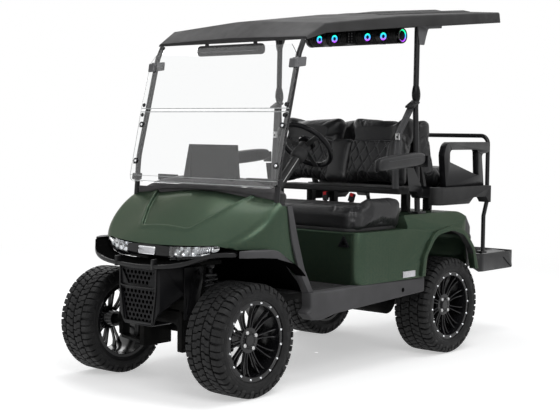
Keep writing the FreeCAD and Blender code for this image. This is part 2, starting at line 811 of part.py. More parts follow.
def make_rear_axle():
    """The axle tube with its gear case and the motor as one plain block."""
    reach = S.track_half - S.hub_inner_face - 1
    tube = rod("axle_tube", "X", (-reach + 60, REAR_AXLE, AXLE_Z), (reach - 60) * 2, 34)
    stub = rod("rear_stub", "X", (-S.track_half - S.stub_reach, REAR_AXLE, AXLE_Z),
               (S.track_half + S.stub_reach) * 2, S.stub_radius)
    drum = rod("brake_drum", "X", (reach - 62, REAR_AXLE, AXLE_Z), plain(62), 92)
    gear = Piece("gear_case").revolve([
        (-122, 0), (-122, 36), (-96, 70, 20), (-66, 88, 20), (-14, 88, 20), (16, 70, 20),
        (42, 36), (42, 0)])
    bind_base(gear.body, 0, REAR_AXLE, AXLE_Z)
    motor = rod("motor", "X", (-30, REAR_AXLE - 130, AXLE_Z + 10), plain(230), 82)
    node("rear_axle", fuse("rear_axle", tube, stub, drum, mirrored("brake_drum_right", drum),
                           gear.body, motor))

    low = AXLE_Z - 34 - 22
    leaf = slab("leaf_spring", "YZ", [
        (REAR_AXLE - 330, S.rail_bottom + 8), (REAR_AXLE - 330, S.rail_bottom + 28),
        (REAR_AXLE, low + 22, 700), (REAR_AXLE + 330, S.rail_bottom + 28),
        (REAR_AXLE + 330, S.rail_bottom + 8), (REAR_AXLE, low, 722),
    ], 283, 327)
    pin = rod("spring_pin", "X", (S.rail_rear_x + 20, REAR_AXLE - 322, S.rail_bottom + 18),
              plain(57), 14)
    rear_pin = rod("shackle_pin", "X", (S.rail_rear_x + 20, REAR_AXLE + 322, S.rail_bottom + 18),
                   plain(57), 14)
    clamp = block("spring_clamp", (279, 331), (REAR_AXLE - 45, REAR_AXLE + 95),
                  (AXLE_Z - 42, AXLE_Z - 34))
    damper = slanted_rod("rear_damper", (305, REAR_AXLE + 72, AXLE_Z - 36),
                         (305, REAR_AXLE + 108, S.tower_top - 33), 20)
    node("rear_springs", both_sides("rear_springs", leaf, pin, rear_pin, clamp, damper))


# Front end

def cowl_sections(name, inset):
    """Cross-sections of the front cowl from the nose back to the dash."""
    table = [
        (FRONT_AXLE - S.nose_reach + inset * 2, 170, 688, S.nose_top, 12, 900),
        (FRONT_AXLE - 118, 338, 712, 768, 24, 1200),
        (FRONT_AXLE - 50, 446, 745, 830, 40, 1200),
        (FRONT_AXLE + 60, 528, 826, 904, 55, 1200),
        (MIDDLE - S.cowl_rear, 545, S.cowl_shoulder, S.cowl_top, 60, 1500),
        (MIDDLE - 420, 550, S.cowl_shoulder, S.cowl_top, 60, 1500),
    ]
    result = []
    for index, (y, half, shoulder, top, bend, crown) in enumerate(table):
        side, high, peak = half - inset, shoulder - inset, top - inset
        result.append(section(f"{name}_{index}", y, [
            (-side, 430), (side, 430), (side, high, bend - inset), (0, peak + 12, crown),
            (-side, high, bend - inset),
        ]))
    return result


def front_strut(name, radius):
    """A left front strut's tube, or the hole that it stands in."""
    return Piece(name).pipe("YZ", S.strut_x, [
        (MIDDLE - 636, S.dash_top - 60), (MIDDLE - 617, 1120, 400), (MIDDLE - 480, 1650, 120),
        (MIDDLE - 446, 1715.3),
    ], radius).body


def strut_holes(name):
    """Clearance holes for the two front struts."""
    left = front_strut(f"{name}_strut_hole", S.strut_radius + S.fit_gap)
    return left, mirrored(f"{name}_strut_hole_right", left)


def make_cowl():
    """The moulded front cowl: a lofted skin, open below and cut round the wheel arches."""
    wall = S.panel_wall
    outer = loft("cowl_outer", cowl_sections("cowl_skin", plain(0)))
    inner = loft("cowl_inner", cowl_sections("cowl_core", wall))
    keep = slab("cowl_keep", "YZ", [
        (MIDDLE - 1030, S.hood_edge_low), (MIDDLE - 1030, 1020), (MIDDLE - S.cowl_rear, 1020),
        (MIDDLE - S.cowl_rear, 906), (MIDDLE - 608.5, 906), (MIDDLE - 572.5, 733, 300),
        (MIDDLE - 519.5, 591, 200), (MIDDLE - 515, 583), (MIDDLE - 700, 694, 60),
        (MIDDLE - 740, S.flare_top + 0.5, 60), (MIDDLE - 880, S.flare_top + 0.5, 40),
        (MIDDLE - 930, S.hood_edge_high, 20),
    ], -600, 600)
    skin = cut("cowl_skin", outer, inner)
    holes = strut_holes("cowl")
    node("front_cowl", cut("front_cowl", common("cowl_shaped", skin, keep), *holes))


def make_flares():
    """The two arch flares and the bumper lip that joins them round the nose."""
    top = S.flare_top
    outer = S.body_half_width
    inner = outer - S.flare_width
    arch = Piece("flare_arch").pad("YZ", [
        (MIDDLE - 986, top - 38), (MIDDLE - 824, top - 36), (MIDDLE - 717, top - 46, 120),
        (MIDDLE - 584, 622, 150), (MIDDLE - 497, 556), (MIDDLE - 517, 582),
        (MIDDLE - 700, 693.5, 60), (MIDDLE - 740, top, 60), (MIDDLE - 986, top),
    ], inner, outer)
    flare = common("flare", arch.body, slab("flare_plan", "XY", [
        (inner, MIDDLE - 908), (inner + 34, MIDDLE - 884, 60), (outer, MIDDLE - 826, 90),
        (outer, MIDDLE - 480), (inner, MIDDLE - 480),
    ], 500, top + 20))
    front = FRONT_AXLE - S.front_overhang
    end = inner - 0.4
    plan = slab("lip_plan", "XY", [
        (end, MIDDLE - 860), (end, MIDDLE - 909), (end - 105, MIDDLE - 1011, 120),
        (270, front + 14, 320), (0, front), (-270, front + 14, 320), (105 - end, MIDDLE - 1011, 120),
        (-end, MIDDLE - 909), (-end, MIDDLE - 860), (-410, MIDDLE - 925, 40),
        (-250, MIDDLE - 990, 200), (250, MIDDLE - 990, 200), (410, MIDDLE - 925, 40),
    ], 580, 740)
    low, high = S.lip_bottom, S.lip_bottom + S.lip_height
    rise = slab("lip_front", "XZ", [
        (-end - 1, low + 44), (-400, low + 34, 200), (-200, low, 500), (200, low, 500),
        (400, low + 34, 200), (end + 1, low + 44), (end + 1, high + 46), (400, high + 34, 200),
        (200, high, 500), (-200, high, 500), (-400, high + 34, 200), (-end - 1, high + 46),
    ], front - 1, FRONT_AXLE)
    node("front_flares", fuse("front_flares", flare, mirrored("flare_right", flare),
                              common("bumper_lip", plan, rise)))


def make_headlights():
    """Wedge lamps between the cowl's lower edge and the bumper lip."""
    depth = S.lamp_depth
    plan = slab("lamp_plan", "XY", [
        (150, MIDDLE - 1004), (250, MIDDLE - 988, 300), (368, MIDDLE - 932, 30),
        (368, MIDDLE - 932 + depth), (150, MIDDLE - 1006 + depth),
    ], 640, 740)
    low = S.lip_bottom + S.lip_height
    front = slab("lamp_front", "XZ", [
        (144, low + 0.5), (160, 700), (240, 760), (372, 760), (372, low + 29.9), (200, low + 0.5, 500),
    ], MIDDLE - 1040, MIDDLE - 840)
    side = slab("lamp_side", "YZ", [
        (MIDDLE - 1030, 640), (MIDDLE - 1030, S.hood_edge_low - 1),
        (MIDDLE - 930, S.hood_edge_high - 1, 20), (MIDDLE - 880, S.flare_top - 0.5),
        (MIDDLE - 860, S.flare_top - 0.5), (MIDDLE - 860, 640),
    ], 100, 400)
    lamp = common("lamp", plan, front, side)
    node("headlights", both_sides("headlights", lamp))


def make_fascia():
    """The lower front moulding with its grille openings, and the nose panel above the lip."""
    front = FRONT_AXLE - S.fascia_front
    back = FRONT_AXLE - S.rail_front_reach - 10
    top = S.lip_bottom - 0.5
    half, foot, wall = S.fascia_half_width, S.fascia_foot_half, S.fascia_wall
    plan = [(half, front, 14), (half + 46, back), (-half - 46, back), (-half, front, 14)]
    hollow = [(half - wall, front + wall, 10), (half + 46 - wall, back + 1),
              (wall - half - 46, back + 1), (wall - half, front + wall, 10)]
    shell = Piece("fascia_shell")
    shell.pad("XY", plan, S.fascia_bottom, top)
    shell.pocket("XY", hollow, S.fascia_bottom + wall, top + 1)
    sides = slab("fascia_sides", "XZ", [
        (foot, S.fascia_bottom, 16), (half + 50, 480, 60), (half + 50, top), (-half - 50, top),
        (-half - 50, 480, 60), (-foot, S.fascia_bottom, 16),
    ], front - 1, back + 1)
    shaped = common("fascia_shaped", shell.body, sides)
    frame = 14
    lower = slab("grille_window", "XZ", [
        (foot - frame, S.fascia_bottom + frame, 10), (half - frame - 4, 495, 8),
        (frame + 4 - half, 495, 8), (frame - foot, S.fascia_bottom + frame, 10),
    ], front - 2, front + wall + 2)
    upper = slab("upper_window", "XZ", [
        (70, 517, 6), (half - frame - 4, 594, 8), (frame + 4 - half, 594, 8), (-70, 517, 6),
    ], front - 2, front + wall + 2)
    moulding = cut("fascia_moulding", shaped, lower, upper)
    nose = FRONT_AXLE - S.nose_reach
    panel = slab("nose_panel", "XZ", [
        (-137, S.lip_bottom + S.lip_height + 0.5), (137, S.lip_bottom + S.lip_height + 0.5),
        (146, S.hood_edge_low - 0.5), (-146, S.hood_edge_low - 0.5)], nose - 2, nose + 14)
    node("front_fascia", fuse("front_fascia", moulding, panel))

    sheet_low, sheet_high = S.fascia_bottom + wall + 1, top - 2
    mesh = slab("mesh_sheet", "XZ", [
        (foot - 6, sheet_low), (half - wall - 12, 490), (half - wall - 12, sheet_high),
        (wall + 12 - half, sheet_high), (wall + 12 - half, 490), (6 - foot, sheet_low),
    ], front + wall + S.fit_gap, front + wall + S.fit_gap + S.grille_thick)
    node("grille", cut("grille", mesh, mesh_holes(front + wall, sheet_low, sheet_high)))


def mesh_holes(front, low, high):
    """Hexagonal holes in staggered rows."""
    pitch, radius = number(S.mesh_pitch), number(S.mesh_hole)
    row_step = pitch * math.sqrt(3) / 2
    bottom, top = number(low) + pitch, number(high) - pitch / 2
    foot, half = number(S.fascia_foot_half), number(S.fascia_half_width)
    y = number(front) - 5
    prisms = []
    for row in range(int((top - bottom) / row_step) + 1):
        z = bottom + row * row_step
        reach = min(foot + (half - foot) * (z - bottom) / 170, half) - 22
        shift = pitch / 2 if row % 2 else 0
        steps = int((reach - shift) / pitch)
        columns = range(-steps - (1 if row % 2 else 0), steps + 1)
        for column in columns:
            x = column * pitch + shift
            ring = [FreeCAD.Vector(x + radius * math.sin(a * math.pi / 3), y,
                                   z + radius * math.cos(a * math.pi / 3)) for a in range(7)]
            face = Part.Face(Part.makePolygon(ring))
            prisms.append(face.extrude(FreeCAD.Vector(0, 40, 0)))
    holes = doc.addObject("Part::Feature", "mesh_holes")
    holes.Shape = Part.makeCompound(prisms)
    return holes


# Cabin

def make_dash():
    """The dash with its hooded centre box and two glove pockets."""
    back = MIDDLE - S.dash_back
    front = MIDDLE - S.cowl_rear + 0.5
    top = S.dash_top
    dash = Piece("dash_block")
    dash.pad("YZ", [
        (front, 880), (front, top), (back, top - 8, 14), (back - 8, 880, 20),
        (back - 30, S.dash_bottom + 14, 10), (back - 56, S.dash_bottom + 14),
    ], -496, 496)
    for low, high in ((350, 470), (-470, -110)):
        dash.pocket("YZ", [(back - 58, 775), (back + 5, 775), (back + 5, 868),
                           (back - 50, 868)], low, high)
    hood = loft("hood_box", [
        level("hood_foot", top - 12, oblong(-180, 217, front + 8, back - 4, 24)),
        level("hood_top", S.hood_box_height, oblong(
            -139, 195, pane_face(S.hood_box_height) + 15.5, pane_face(S.hood_box_height) + 49, 16)),
    ], ruled=True)
    hood_cut = slab("hood_recess", "XZ", oblong(-110, 165, top + 26,
                                                 S.hood_box_height - 24, 14), front - 2, front + 27)
    whole = fuse("dash_whole", dash.body, cut("hood_shaped", hood, hood_cut))
    reach = number(S.column_length) + 50
    sleeve = upright_cylinder(number(S.column_radius) + number(S.fit_gap), -reach, -300)
    node("dash", cut("dash", whole, *strut_holes("dash"), tilted("column_hole", sleeve)))


def level(name, z, corners):
    """A flat cross-section at one height."""
    sketch = doc.addObject("Sketcher::SketchObject", name)
    bind_base(sketch, 0, 0, z)
    draw_outline(sketch, corners)
    return sketch


def pane_face(z):
    """How far along the lower pane's front face lies at a height."""
    return MIDDLE - 668 + (plain(z) - S.screen_bottom) * (86 / 381)


def make_screen():
    """Two windshield panes in front of the bent front struts, and the mirror."""
    half, thick = S.screen_half_width, S.screen_thick
    low = (MIDDLE - 668, S.screen_bottom)
    seam = (pane_face(S.screen_seam), S.screen_seam)
    high = (MIDDLE - 495, S.screen_top)

    def pane_y(z, foot, head):
        return foot[0] + (head[0] - foot[0]) * (plain(z) - foot[1]) / (head[1] - foot[1])

    panes = []
    for name, foot, head, bottom, top in (("lower_pane", low, seam, S.screen_bottom, S.screen_seam - 2),
                                          ("upper_pane", seam, high, S.screen_seam + 2, S.screen_top)):
        y_low, y_high = pane_y(bottom, foot, head), pane_y(top, foot, head)
        panes.append(Piece(name).pad("YZ", [
            (y_low, bottom), (y_low + thick, bottom), (y_high + thick, top), (y_high, top),
        ], -half, half))

    def behind_pane(z, foot, head):
        return pane_y(z, foot, head) + thick + S.fit_gap

    clamps = []
    for name, z, strut_y, foot, head in (("low", 1098, 618, low, seam), ("mid", 1293, 571, low, seam),
                                         ("high", 1612, 489, seam, high)):
        clamps.append(slab(f"clamp_{name}", "YZ", [
            (behind_pane(z - 15, foot, head), z - 15), (behind_pane(z + 15, foot, head), z + 15),
            (MIDDLE - strut_y + 4, z + 15), (MIDDLE - strut_y - 4, z - 15),
        ], S.strut_x - 6, S.strut_x + 18))
    node("front_struts", both_sides("front_struts", front_strut("front_strut", S.strut_radius),
                                    *clamps))
    corner = slab("pane_shape", "XZ", [
        (half, S.screen_bottom, 40), (half, S.screen_top - 70, 10), (half - 60, S.screen_top, 10),
        (60 - half, S.screen_top, 10), (-half, S.screen_top - 70, 10), (-half, S.screen_bottom, 40),
    ], MIDDLE - 700, MIDDLE - 400)
    node("windshield", common("windshield", fuse("panes", panes[0].body, panes[1].body), corner))

    mirror = Piece("mirror_body")
    mirror.pad("XZ", oblong(-235, 235, 1652, 1712, 26), MIDDLE - 452, MIDDLE - 424)
    hanger = block("mirror_hanger", (160, 184), (MIDDLE - 442, MIDDLE - 432), (1700, 1734.8))
    node("mirror", fuse("mirror", mirror.body, hanger, mirrored("hanger_right", hanger)))


def roof_sections(name, inset, drop):
    """Cross-sections of the roof from its front edge to its rear edge."""
    rear = S.roof_rear_z
    table = [
        (MIDDLE - S.roof_front, S.roof_half_width - 32, S.roof_front_z - 12, 14, 8),
        (MIDDLE - S.roof_front + 122, S.roof_half_width - 12, S.roof_front_z + 26, 50, 24),
        (MIDDLE + 290, S.roof_half_width, S.roof_mid_z, S.roof_band, S.roof_crown),
        (MIDDLE + 800, S.roof_half_width, S.roof_back_z, S.roof_band, S.roof_crown),
        (MIDDLE + S.roof_rear, S.roof_half_width - 20, rear, S.roof_band, S.roof_crown),
    ]
    result = []
    for index, (y, half, low, band, crown) in enumerate(table):
        ends = inset if index in (0, len(table) - 1) else 0
        y = y + ends if index == 0 else y - ends
        side = half - inset
        result.append(section(f"{name}_{index}", y, [
            (-side, low - drop), (side, low - drop), (side - 8, low + band - inset, 12),
            (0, low + band + crown * 1.5 - inset, 1500), (8 - side, low + band - inset, 12),
        ]))
    return result


def roof_under(y, x):
    """The height of the roof's inner face between its middle and back sections."""
    edge = S.roof_mid_z + (S.roof_back_z - S.roof_mid_z) * ((plain(y) - 290) / 510)
    corner = S.roof_half_width - S.roof_wall - 8
    return edge + S.roof_band - S.roof_wall + S.roof_crown * 1.5 * (corner - x) / corner


def make_roof():
    """A shallow roof shell with a turned-down edge."""
    outer = loft("roof_outer", roof_sections("roof_skin", plain(0), 0), ruled=True)
    inner = loft("roof_inner", roof_sections("roof_core", S.roof_wall, 20), ruled=True)
    node("roof", cut("roof", outer, inner))

    x = S.strut_x
    strut = Piece("rear_strut").pipe("YZ", x, [
        (MIDDLE + 560, S.body_top + 10), (MIDDLE + 525, 1400, 400),
        (MIDDLE + 530, roof_under(530, x + 34) - 6),
    ], 16)
    foot = block("strut_foot", (x - 30, x + 30), (MIDDLE + 525, MIDDLE + 600),
                 (S.body_top + 0.3, S.body_top + 12))
    near, far = roof_under(450, x + 34) - S.fit_gap, roof_under(640, x + 34) - S.fit_gap
    plate = slab("strut_plate", "YZ", [
        (MIDDLE + 450, near - 8), (MIDDLE + 640, far - 8), (MIDDLE + 640, far),
        (MIDDLE + 450, near)], x - 34, x + 34)
    node("rear_struts", both_sides("rear_struts", strut.body, foot, plate))

    radius, half = S.sound_bar_radius, S.sound_bar_half
    y, z = MIDDLE + S.sound_bar_y, S.sound_bar_z
    tube = rod("speaker_tube", "X", (-half, y, z), half * 2, radius)
    clip = block("bar_clip", (180, 215), (y - 18, y + 18),
                 (z + radius - 6, roof_under(S.sound_bar_y - 18, 215) - S.fit_gap))
    node("sound_bar", fuse("sound_bar", tube, clip, mirrored("bar_clip_right", clip)))


def tilted(name, shape):
    """A steering piece drawn along Z at the wheel's centre, leaned to the column's angle."""
    thing = doc.addObject("Part::Feature", name)
    thing.Shape = shape
    thing.Placement = FreeCAD.Placement(
        FreeCAD.Vector(number(S.wheel_x), number(MIDDLE - S.wheel_y), number(S.wheel_z)),
        FreeCAD.Rotation(FreeCAD.Vector(1, 0, 0), number(S.column_tilt) - 90))
    return thing


def upright_cylinder(radius, low, high):
    return Part.makeCylinder(number(radius), number(high) - number(low),
                             FreeCAD.Vector(0, 0, number(low)))


def make_steering_wheel():
    """The wheel with three spokes on a hub whose pin turns in the column."""
    ring_radius, grip = number(S.wheel_ring_radius), number(S.wheel_grip)
    ring = Part.makeTorus(ring_radius, grip)
    hub = upright_cylinder(34, -42, -4)
    pin = upright_cylinder(S.column_pin_radius, -74, -40)
    parts = [hub, pin]
    for angle in (90, 210, 330):
        spoke = Part.makeBox(ring_radius, 26, 8, FreeCAD.Vector(0, -13, -18))
        spoke.rotate(FreeCAD.Vector(), FreeCAD.Vector(0, 0, 1), angle)
        parts.append(spoke)
    whole = ring.fuse(parts)
    node("steering_wheel", tilted("steering_wheel", whole.removeSplitter()))

    bore = upright_cylinder(number(S.column_pin_radius) + number(S.running_gap), -80, -40)
    tube = upright_cylinder(S.column_radius, -43 - number(S.column_length), -43)
    node("steering_column", tilted("steering_column", tube.cut(bore)))


def make_pedals():
    """Two pedals on arms that reach down to the toe board."""
    parts = []
    for name, x in (("brake", 190), ("go", 310)):
        pad = slab(f"{name}_pad", "YZ", [
            (MIDDLE - 473.8, 583.7, 2), (MIDDLE - 466.9, 590.9, 2), (MIDDLE - 546.9, 667, 2),
            (MIDDLE - 553.8, 659.8, 2),
        ], x - 32, x + 32)
        arm = slab(f"{name}_arm", "YZ", [
            (MIDDLE - 545, toe_board(545) + 0.4), (MIDDLE - 516, 630), (MIDDLE - 536, 649),
            (MIDDLE - 565, toe_board(565) + 0.4),
        ], x - 8, x + 8)
        parts += [pad, arm]
    node("pedals", fuse("pedals", *parts))


# Rear body

def body_solid(name, inset):
    """The rear body's outer form: its side view crossed with its plan."""
    front, rear = MIDDLE - S.body_front + inset, REAR_AXLE + S.body_rear_reach - inset
    top, base_top = S.body_top - inset, S.seat_base_top - inset
    bottom = S.rocker_top + S.fit_gap - inset * 2
    side = slab(f"{name}_side", "YZ", [
        (front, bottom), (front, base_top, 12), (MIDDLE + 368 + inset, base_top),
        (MIDDLE + 374 + inset, top, 12), (REAR_AXLE + 90, top, 160), (rear - 16, 690, 120),
        (rear, 520, 30), (rear - 30, 486 - inset), (MIDDLE + 1000, bottom),
    ], -S.body_half_width - 20, S.body_half_width + 20)
    half = S.body_half_width - inset
    shoulder = slab(f"{name}_shoulder", "XZ", [
        (half + 5, 400), (half + 5, S.seat_base_top - 12), (half - S.tumblehome, top + 14),
        (S.tumblehome - half, top + 14), (-half - 5, S.seat_base_top - 12), (-half - 5, 400),
    ], front - 10, rear + 10)
    plan = slab(f"{name}_plan", "XY", [
        (half - 22, front, 60), (half - 16, MIDDLE + 200, 900), (half, REAR_AXLE - 120, 900),
        (half, REAR_AXLE + 80, 300), (half - 90, rear, 100), (90 - half, rear, 100),
        (-half, REAR_AXLE + 80, 300), (-half, REAR_AXLE - 120, 900),
        (16 - half, MIDDLE + 200, 900), (22 - half, front, 60),
    ], 400, 900)
    return common(f"{name}_solid", side, plan, shoulder)


def arch_line(grow):
    """The wheel arch's side view, or its band's where it grows outwards."""
    foot = S.arch_foot + grow * 1.2
    return [
        (REAR_AXLE - 318 - grow, foot), (REAR_AXLE - 298 - grow, 585, 80),
        (REAR_AXLE - 205 - grow * 0.7, S.arch_top - 20 + grow * 0.8, 130),
        (REAR_AXLE - 45, S.arch_top + grow, 150),
        (REAR_AXLE + 78 + grow * 0.5, S.arch_top - 34 + grow * 0.9, 130),
        (REAR_AXLE + 172 + grow * 0.8, 588 + grow * 0.3, 90), (REAR_AXLE + 210 + grow, foot),
    ]


def make_rear_body():
    """The hollow rear body with a battery bay under the bench and open wheel arches."""
    wall = S.panel_wall
    outer = body_solid("body_outer", plain(0))
    inner = body_solid("body_inner", wall)
    bay = slab("battery_bay", "XY", oblong(-400, 400, MIDDLE + 10, MIDDLE + 345, 20), 600, 800)
    wide = S.body_half_width + 40
    arch = slab("rear_arch", "YZ", arch_line(0), -wide, wide)
    shell = cut("body_shell", outer, inner, bay, arch)
    band = slab("arch_band", "YZ", arch_line(S.arch_band), S.body_half_width - 30,
                S.body_half_width + 10)
    lip = cut("arch_lip", band, slab("arch_hole", "YZ", arch_line(0), S.body_half_width - 40,
                                     S.body_half_width + 20))
    node("rear_body", fuse("rear_body", shell, lip, mirrored("arch_lip_right", lip)))

    lamp = rod("tail_lamp", "Y", (440, REAR_AXLE + S.body_rear_reach - 6.8, 640), plain(16), 44)
    node("tail_lights", both_sides("tail_lights", lamp))


# Seats

def make_bench():
    """The front bench cushion with raised ends."""
    half, top = S.bench_half, S.bench_top
    low = S.seat_base_top + S.fit_gap
    front, rear = MIDDLE - S.bench_front, MIDDLE + S.bench_rear
    form = slab("bench_form", "XZ", [
        (-half, low, 24), (half, low, 24), (half, S.bolster_top, 26), (half - 66, S.bolster_top, 24),
        (half - 100, top, 30), (100 - half, top, 30), (66 - half, S.bolster_top, 24),
        (-half, S.bolster_top, 26),
    ], front, rear)
    plan = slab("bench_plan", "XY", [
        (-half, front, 90), (half, front, 90), (half, rear, 30), (-half, rear, 30),
    ], low, S.bolster_top + 10)
    side = slab("bench_side", "YZ", [
        (front, low, 30), (front, top - 4, 44), (MIDDLE + 120, top + 20, 200),
        (MIDDLE + 300, S.bolster_top + 10, 60), (rear, S.bolster_top - 10, 30),
        (rear, S.body_top + 8, 10), (MIDDLE + 364, S.body_top + 8), (MIDDLE + 364, low, 10),
    ], -half, half)
    node("seat_cushion", common("seat_cushion", form, plan, side))


def make_backs():
    """Front seat backs with the pad between them, and the backs that face the rear."""
    thick, low, top = S.back_thick, S.back_bottom, S.back_top
    near, far = MIDDLE + S.back_front_low, MIDDLE + S.back_front_high
    back = Piece("seat_back").pad("YZ", [
        (near, low, 30), (far, top, 45), (far + thick - 12, top, 40), (near + thick, low, 30),
    ], S.back_inner, S.back_outer)
    back_front = slab("seat_back_front", "XZ", oblong(
        S.back_inner, S.back_outer, low - 1, top + 1, 50), near - 5, far + thick + 5)
    shaped = common("seat_back_shaped", back.body, back_front)
    pad = slab("centre_pad", "YZ", [
        (near - 16, low, 4), (near - 16 + 82, low + 275, 4), (near - 0.5 + 82, low + 275),
        (near - 0.5, low)], -88, 88)
    node("seat_backs", fuse("seat_backs", shaped, mirrored("seat_back_right", shaped), pad))

    rear_low, rear_high = MIDDLE + S.rear_back_low, MIDDLE + S.rear_back_high
    rear_back = slab("rear_back", "YZ", [
        (rear_low, 1000, 30), (rear_high + 6, top - 8, 40), (rear_high - 84, top - 8, 40),
        (rear_low - 96, 1000, 30),
    ], 20, 455)
    rear_front = slab("rear_back_front", "XZ", oblong(20, 455, 999, top, 50),
                      rear_high - 100, rear_low + 10)
    node("rear_backrests", both_sides("rear_backrests", common("rear_back_shaped", rear_back,
                                                               rear_front)))


def make_seat_frame():
    """The steel deck of the rear seat, its legs, and the uprights and rail behind the backs."""
    low, high = S.deck_bottom, S.deck_bottom + S.deck_thick
    deck = slab("deck_plate", "XY", oblong(-S.deck_half, S.deck_half, MIDDLE + 610,
                                           MIDDLE + S.deck_rear, 20), low, high)
    legs = [block(f"deck_leg_{i}", (330, 370), (MIDDLE + y, MIDDLE + y + 40), (S.body_top, low))
            for i, y in enumerate((640, 860))]
    lean = (S.rear_back_low - 96 - S.rear_back_high + 84) / (S.back_top - 1008)
    foot = MIDDLE + S.rear_back_low - 96 - S.fit_gap + lean * (1000 - high)
    head = foot - lean * (1240 - high)
    post = slab("back_post", "YZ", [(foot - 25, high), (foot, high), (head, 1240), (head - 25, 1240)],
                385, 415)
    rail = slab("back_rail", "YZ", oblong(MIDDLE + 442, MIDDLE + 640, 922, S.back_bottom - 0.5, 8),
                -455, 455)
    sides = fuse("frame_side", *legs, post)
    node("seat_frame", fuse("seat_frame", deck, rail, sides, mirrored("frame_side_right", sides)))


def make_armrests():
    """Padded armrests held by brackets beside the rear struts."""
    x0, x1 = S.armrest_inner, S.armrest_outer
    low, high = S.armrest_bottom, S.armrest_top
    pad = Piece("arm_pad").pad("YZ", [
        (MIDDLE + S.armrest_front, low + 18, 20), (MIDDLE + S.armrest_front, high - 26, 18),
        (MIDDLE + S.armrest_front + 120, high, 120), (MIDDLE + S.armrest_rear, high + 8, 24),
        (MIDDLE + S.armrest_rear, low, 24), (MIDDLE + S.armrest_front + 110, low, 60),
    ], x0, x1)
    bracket = slab("arm_bracket", "YZ", [
        (MIDDLE + 452, 940, 12), (MIDDLE + 430, low + 12), (MIDDLE + 494, low + 12),
        (MIDDLE + 580, 960, 30), (MIDDLE + 580, 905, 12), (MIDDLE + 482, 905, 20),
    ], S.strut_x + 16.5, x0 + 30)
    node("armrests", both_sides("armrests", pad.body, bracket))


def make_belts():
    """The two front belts, hanging from the struts to the back rail."""
    web = slab("belt_web", "YZ", [
        (MIDDLE + 420, 955), (MIDDLE + 422.5, 955), (MIDDLE + 508.7, 1440), (MIDDLE + 506.2, 1440),
    ], 473, 515)
    node("seat_belts", both_sides("seat_belts", web))


def make_rear_seat():
    """The rear cushion, the armrest frames beside it and the skirts below them."""
    low = S.deck_bottom + S.deck_thick + 0.5
    front, rear = MIDDLE + S.rear_cushion_front, MIDDLE + S.rear_cushion_rear
    cushion = Piece("rear_cushion").pad("XY", oblong(
        -S.rear_cushion_half, S.rear_cushion_half, front, rear, 50), low,
        low + S.rear_cushion_thick)
    cushion.soften(22, lambda edge: edge.BoundBox.ZMin > number(low + S.rear_cushion_thick) - 1)
    node("rear_cushion", cushion.body)

    x0, x1 = S.side_frame_x, S.side_frame_x + S.side_frame_thick
    base = S.deck_bottom + 30.5
    frame = Piece("arm_hoop")
    frame.pad("YZ", [
        (MIDDLE + 885, base), (MIDDLE + 862, 1140, 60), (MIDDLE + 890, 1212, 60),
        (MIDDLE + 1354, 1212, 14), (MIDDLE + 1354, 1150, 14), (MIDDLE + 1272, 1140, 20),
        (MIDDLE + 1300, base),
    ], x0, x1)
    frame.pocket("YZ", [
        (MIDDLE + 925, 1096, 8), (MIDDLE + 925, 1166, 24), (MIDDLE + 1228, 1166, 20),
        (MIDDLE + 1240, 1010, 8),
    ], x0 - 1, x1 + 1)
    node("side_frames", both_sides("side_frames", frame.body))

    skirt = slab("skirt_band", "XY", [
        (S.deck_half + 0.5, MIDDLE + 1345), (S.deck_half + 0.5, MIDDLE + 775),
        (x1 + 26, MIDDLE + 775, 50), (x1 + 26, MIDDLE + 1345),
    ], 848, S.deck_bottom + 30)
    scoop = slab("skirt_scoop", "YZ", [
        (MIDDLE + 1090, 840), (MIDDLE + 1150, 884, 50), (MIDDLE + 1290, 884, 40),
        (MIDDLE + 1330, 840)], 300, 600)
    node("rear_skirts", both_sides("rear_skirts", cut("skirt_side", skirt, scoop)))


def make_step():
    """The foot step behind the rear body and the hoop that stands on it."""
    rear = S.overall_length / 2
    front = MIDDLE + S.step_front
    top, low = S.step_top, S.step_top - S.step_skirt
    half, wall = S.step_half, S.step_wall
    outer = slab("step_outer", "XY", [
        (60 - half, front, 60), (half - 60, front, 60), (half, front + 190, 90), (half - 6, rear, 24),
        (6 - half, rear, 24), (-half, front + 190, 90),
    ], low, top)
    hollow = slab("step_hollow", "XY", [
        (68 - half, front + wall, 52), (half - 68, front + wall, 52),
        (half - wall, front + 194, 82), (half - 6 - wall, rear - wall, 18),
        (6 + wall - half, rear - wall, 18), (wall - half, front + 194, 82),
    ], low - 1, top - wall * 2)
    scoop = slab("step_scoop", "YZ", [
        (front - 20, low - 10), (front - 20, RAIL_TOP + S.arm_beam_height),
        (front + 60, RAIL_TOP + S.arm_beam_height, 30), (front + 180, low - 10)], -500, 500)
    step = cut("step_shell", outer, hollow, scoop)
    beam = RAIL_TOP + S.arm_beam_height
    rib = block("step_rib", (S.rail_rear_x - 22, S.rail_rear_x + 22), (front + wall, front + 460),
                (beam, top - wall * 2))
    tread = slab("step_tread", "XY", oblong(-360, 360, MIDDLE + S.hoop_y + 38, rear - 57, 20),
                 top - 2, top + S.tread_thick)
    node("foot_step", fuse("foot_step", step, rib, mirrored("step_rib_right", rib), tread))

    x, y, z = S.hoop_x, MIDDLE + S.hoop_y, S.hoop_top - S.hoop_radius
    hoop_in = x - 21
    hoop = Piece("hoop").pipe("XZ", -y, [
        (hoop_in, top + 12), (hoop_in, plain(760), 60), (x, plain(850), 60), (x, z, 50),
        (-x, z, 50), (-x, plain(850), 60), (-hoop_in, plain(760), 60), (-hoop_in, top + 12),
    ], S.hoop_radius)
    foot = block("hoop_foot", (hoop_in - 30, hoop_in + 12), (y - 28, y + 28), (top, top + 14))
    node("grab_hoop", fuse("grab_hoop", hoop.body, foot, mirrored("hoop_foot_right", foot)))


def is_sound(shape):
    return not shape.isNull() and shape.isValid() and bool(shape.Solids)


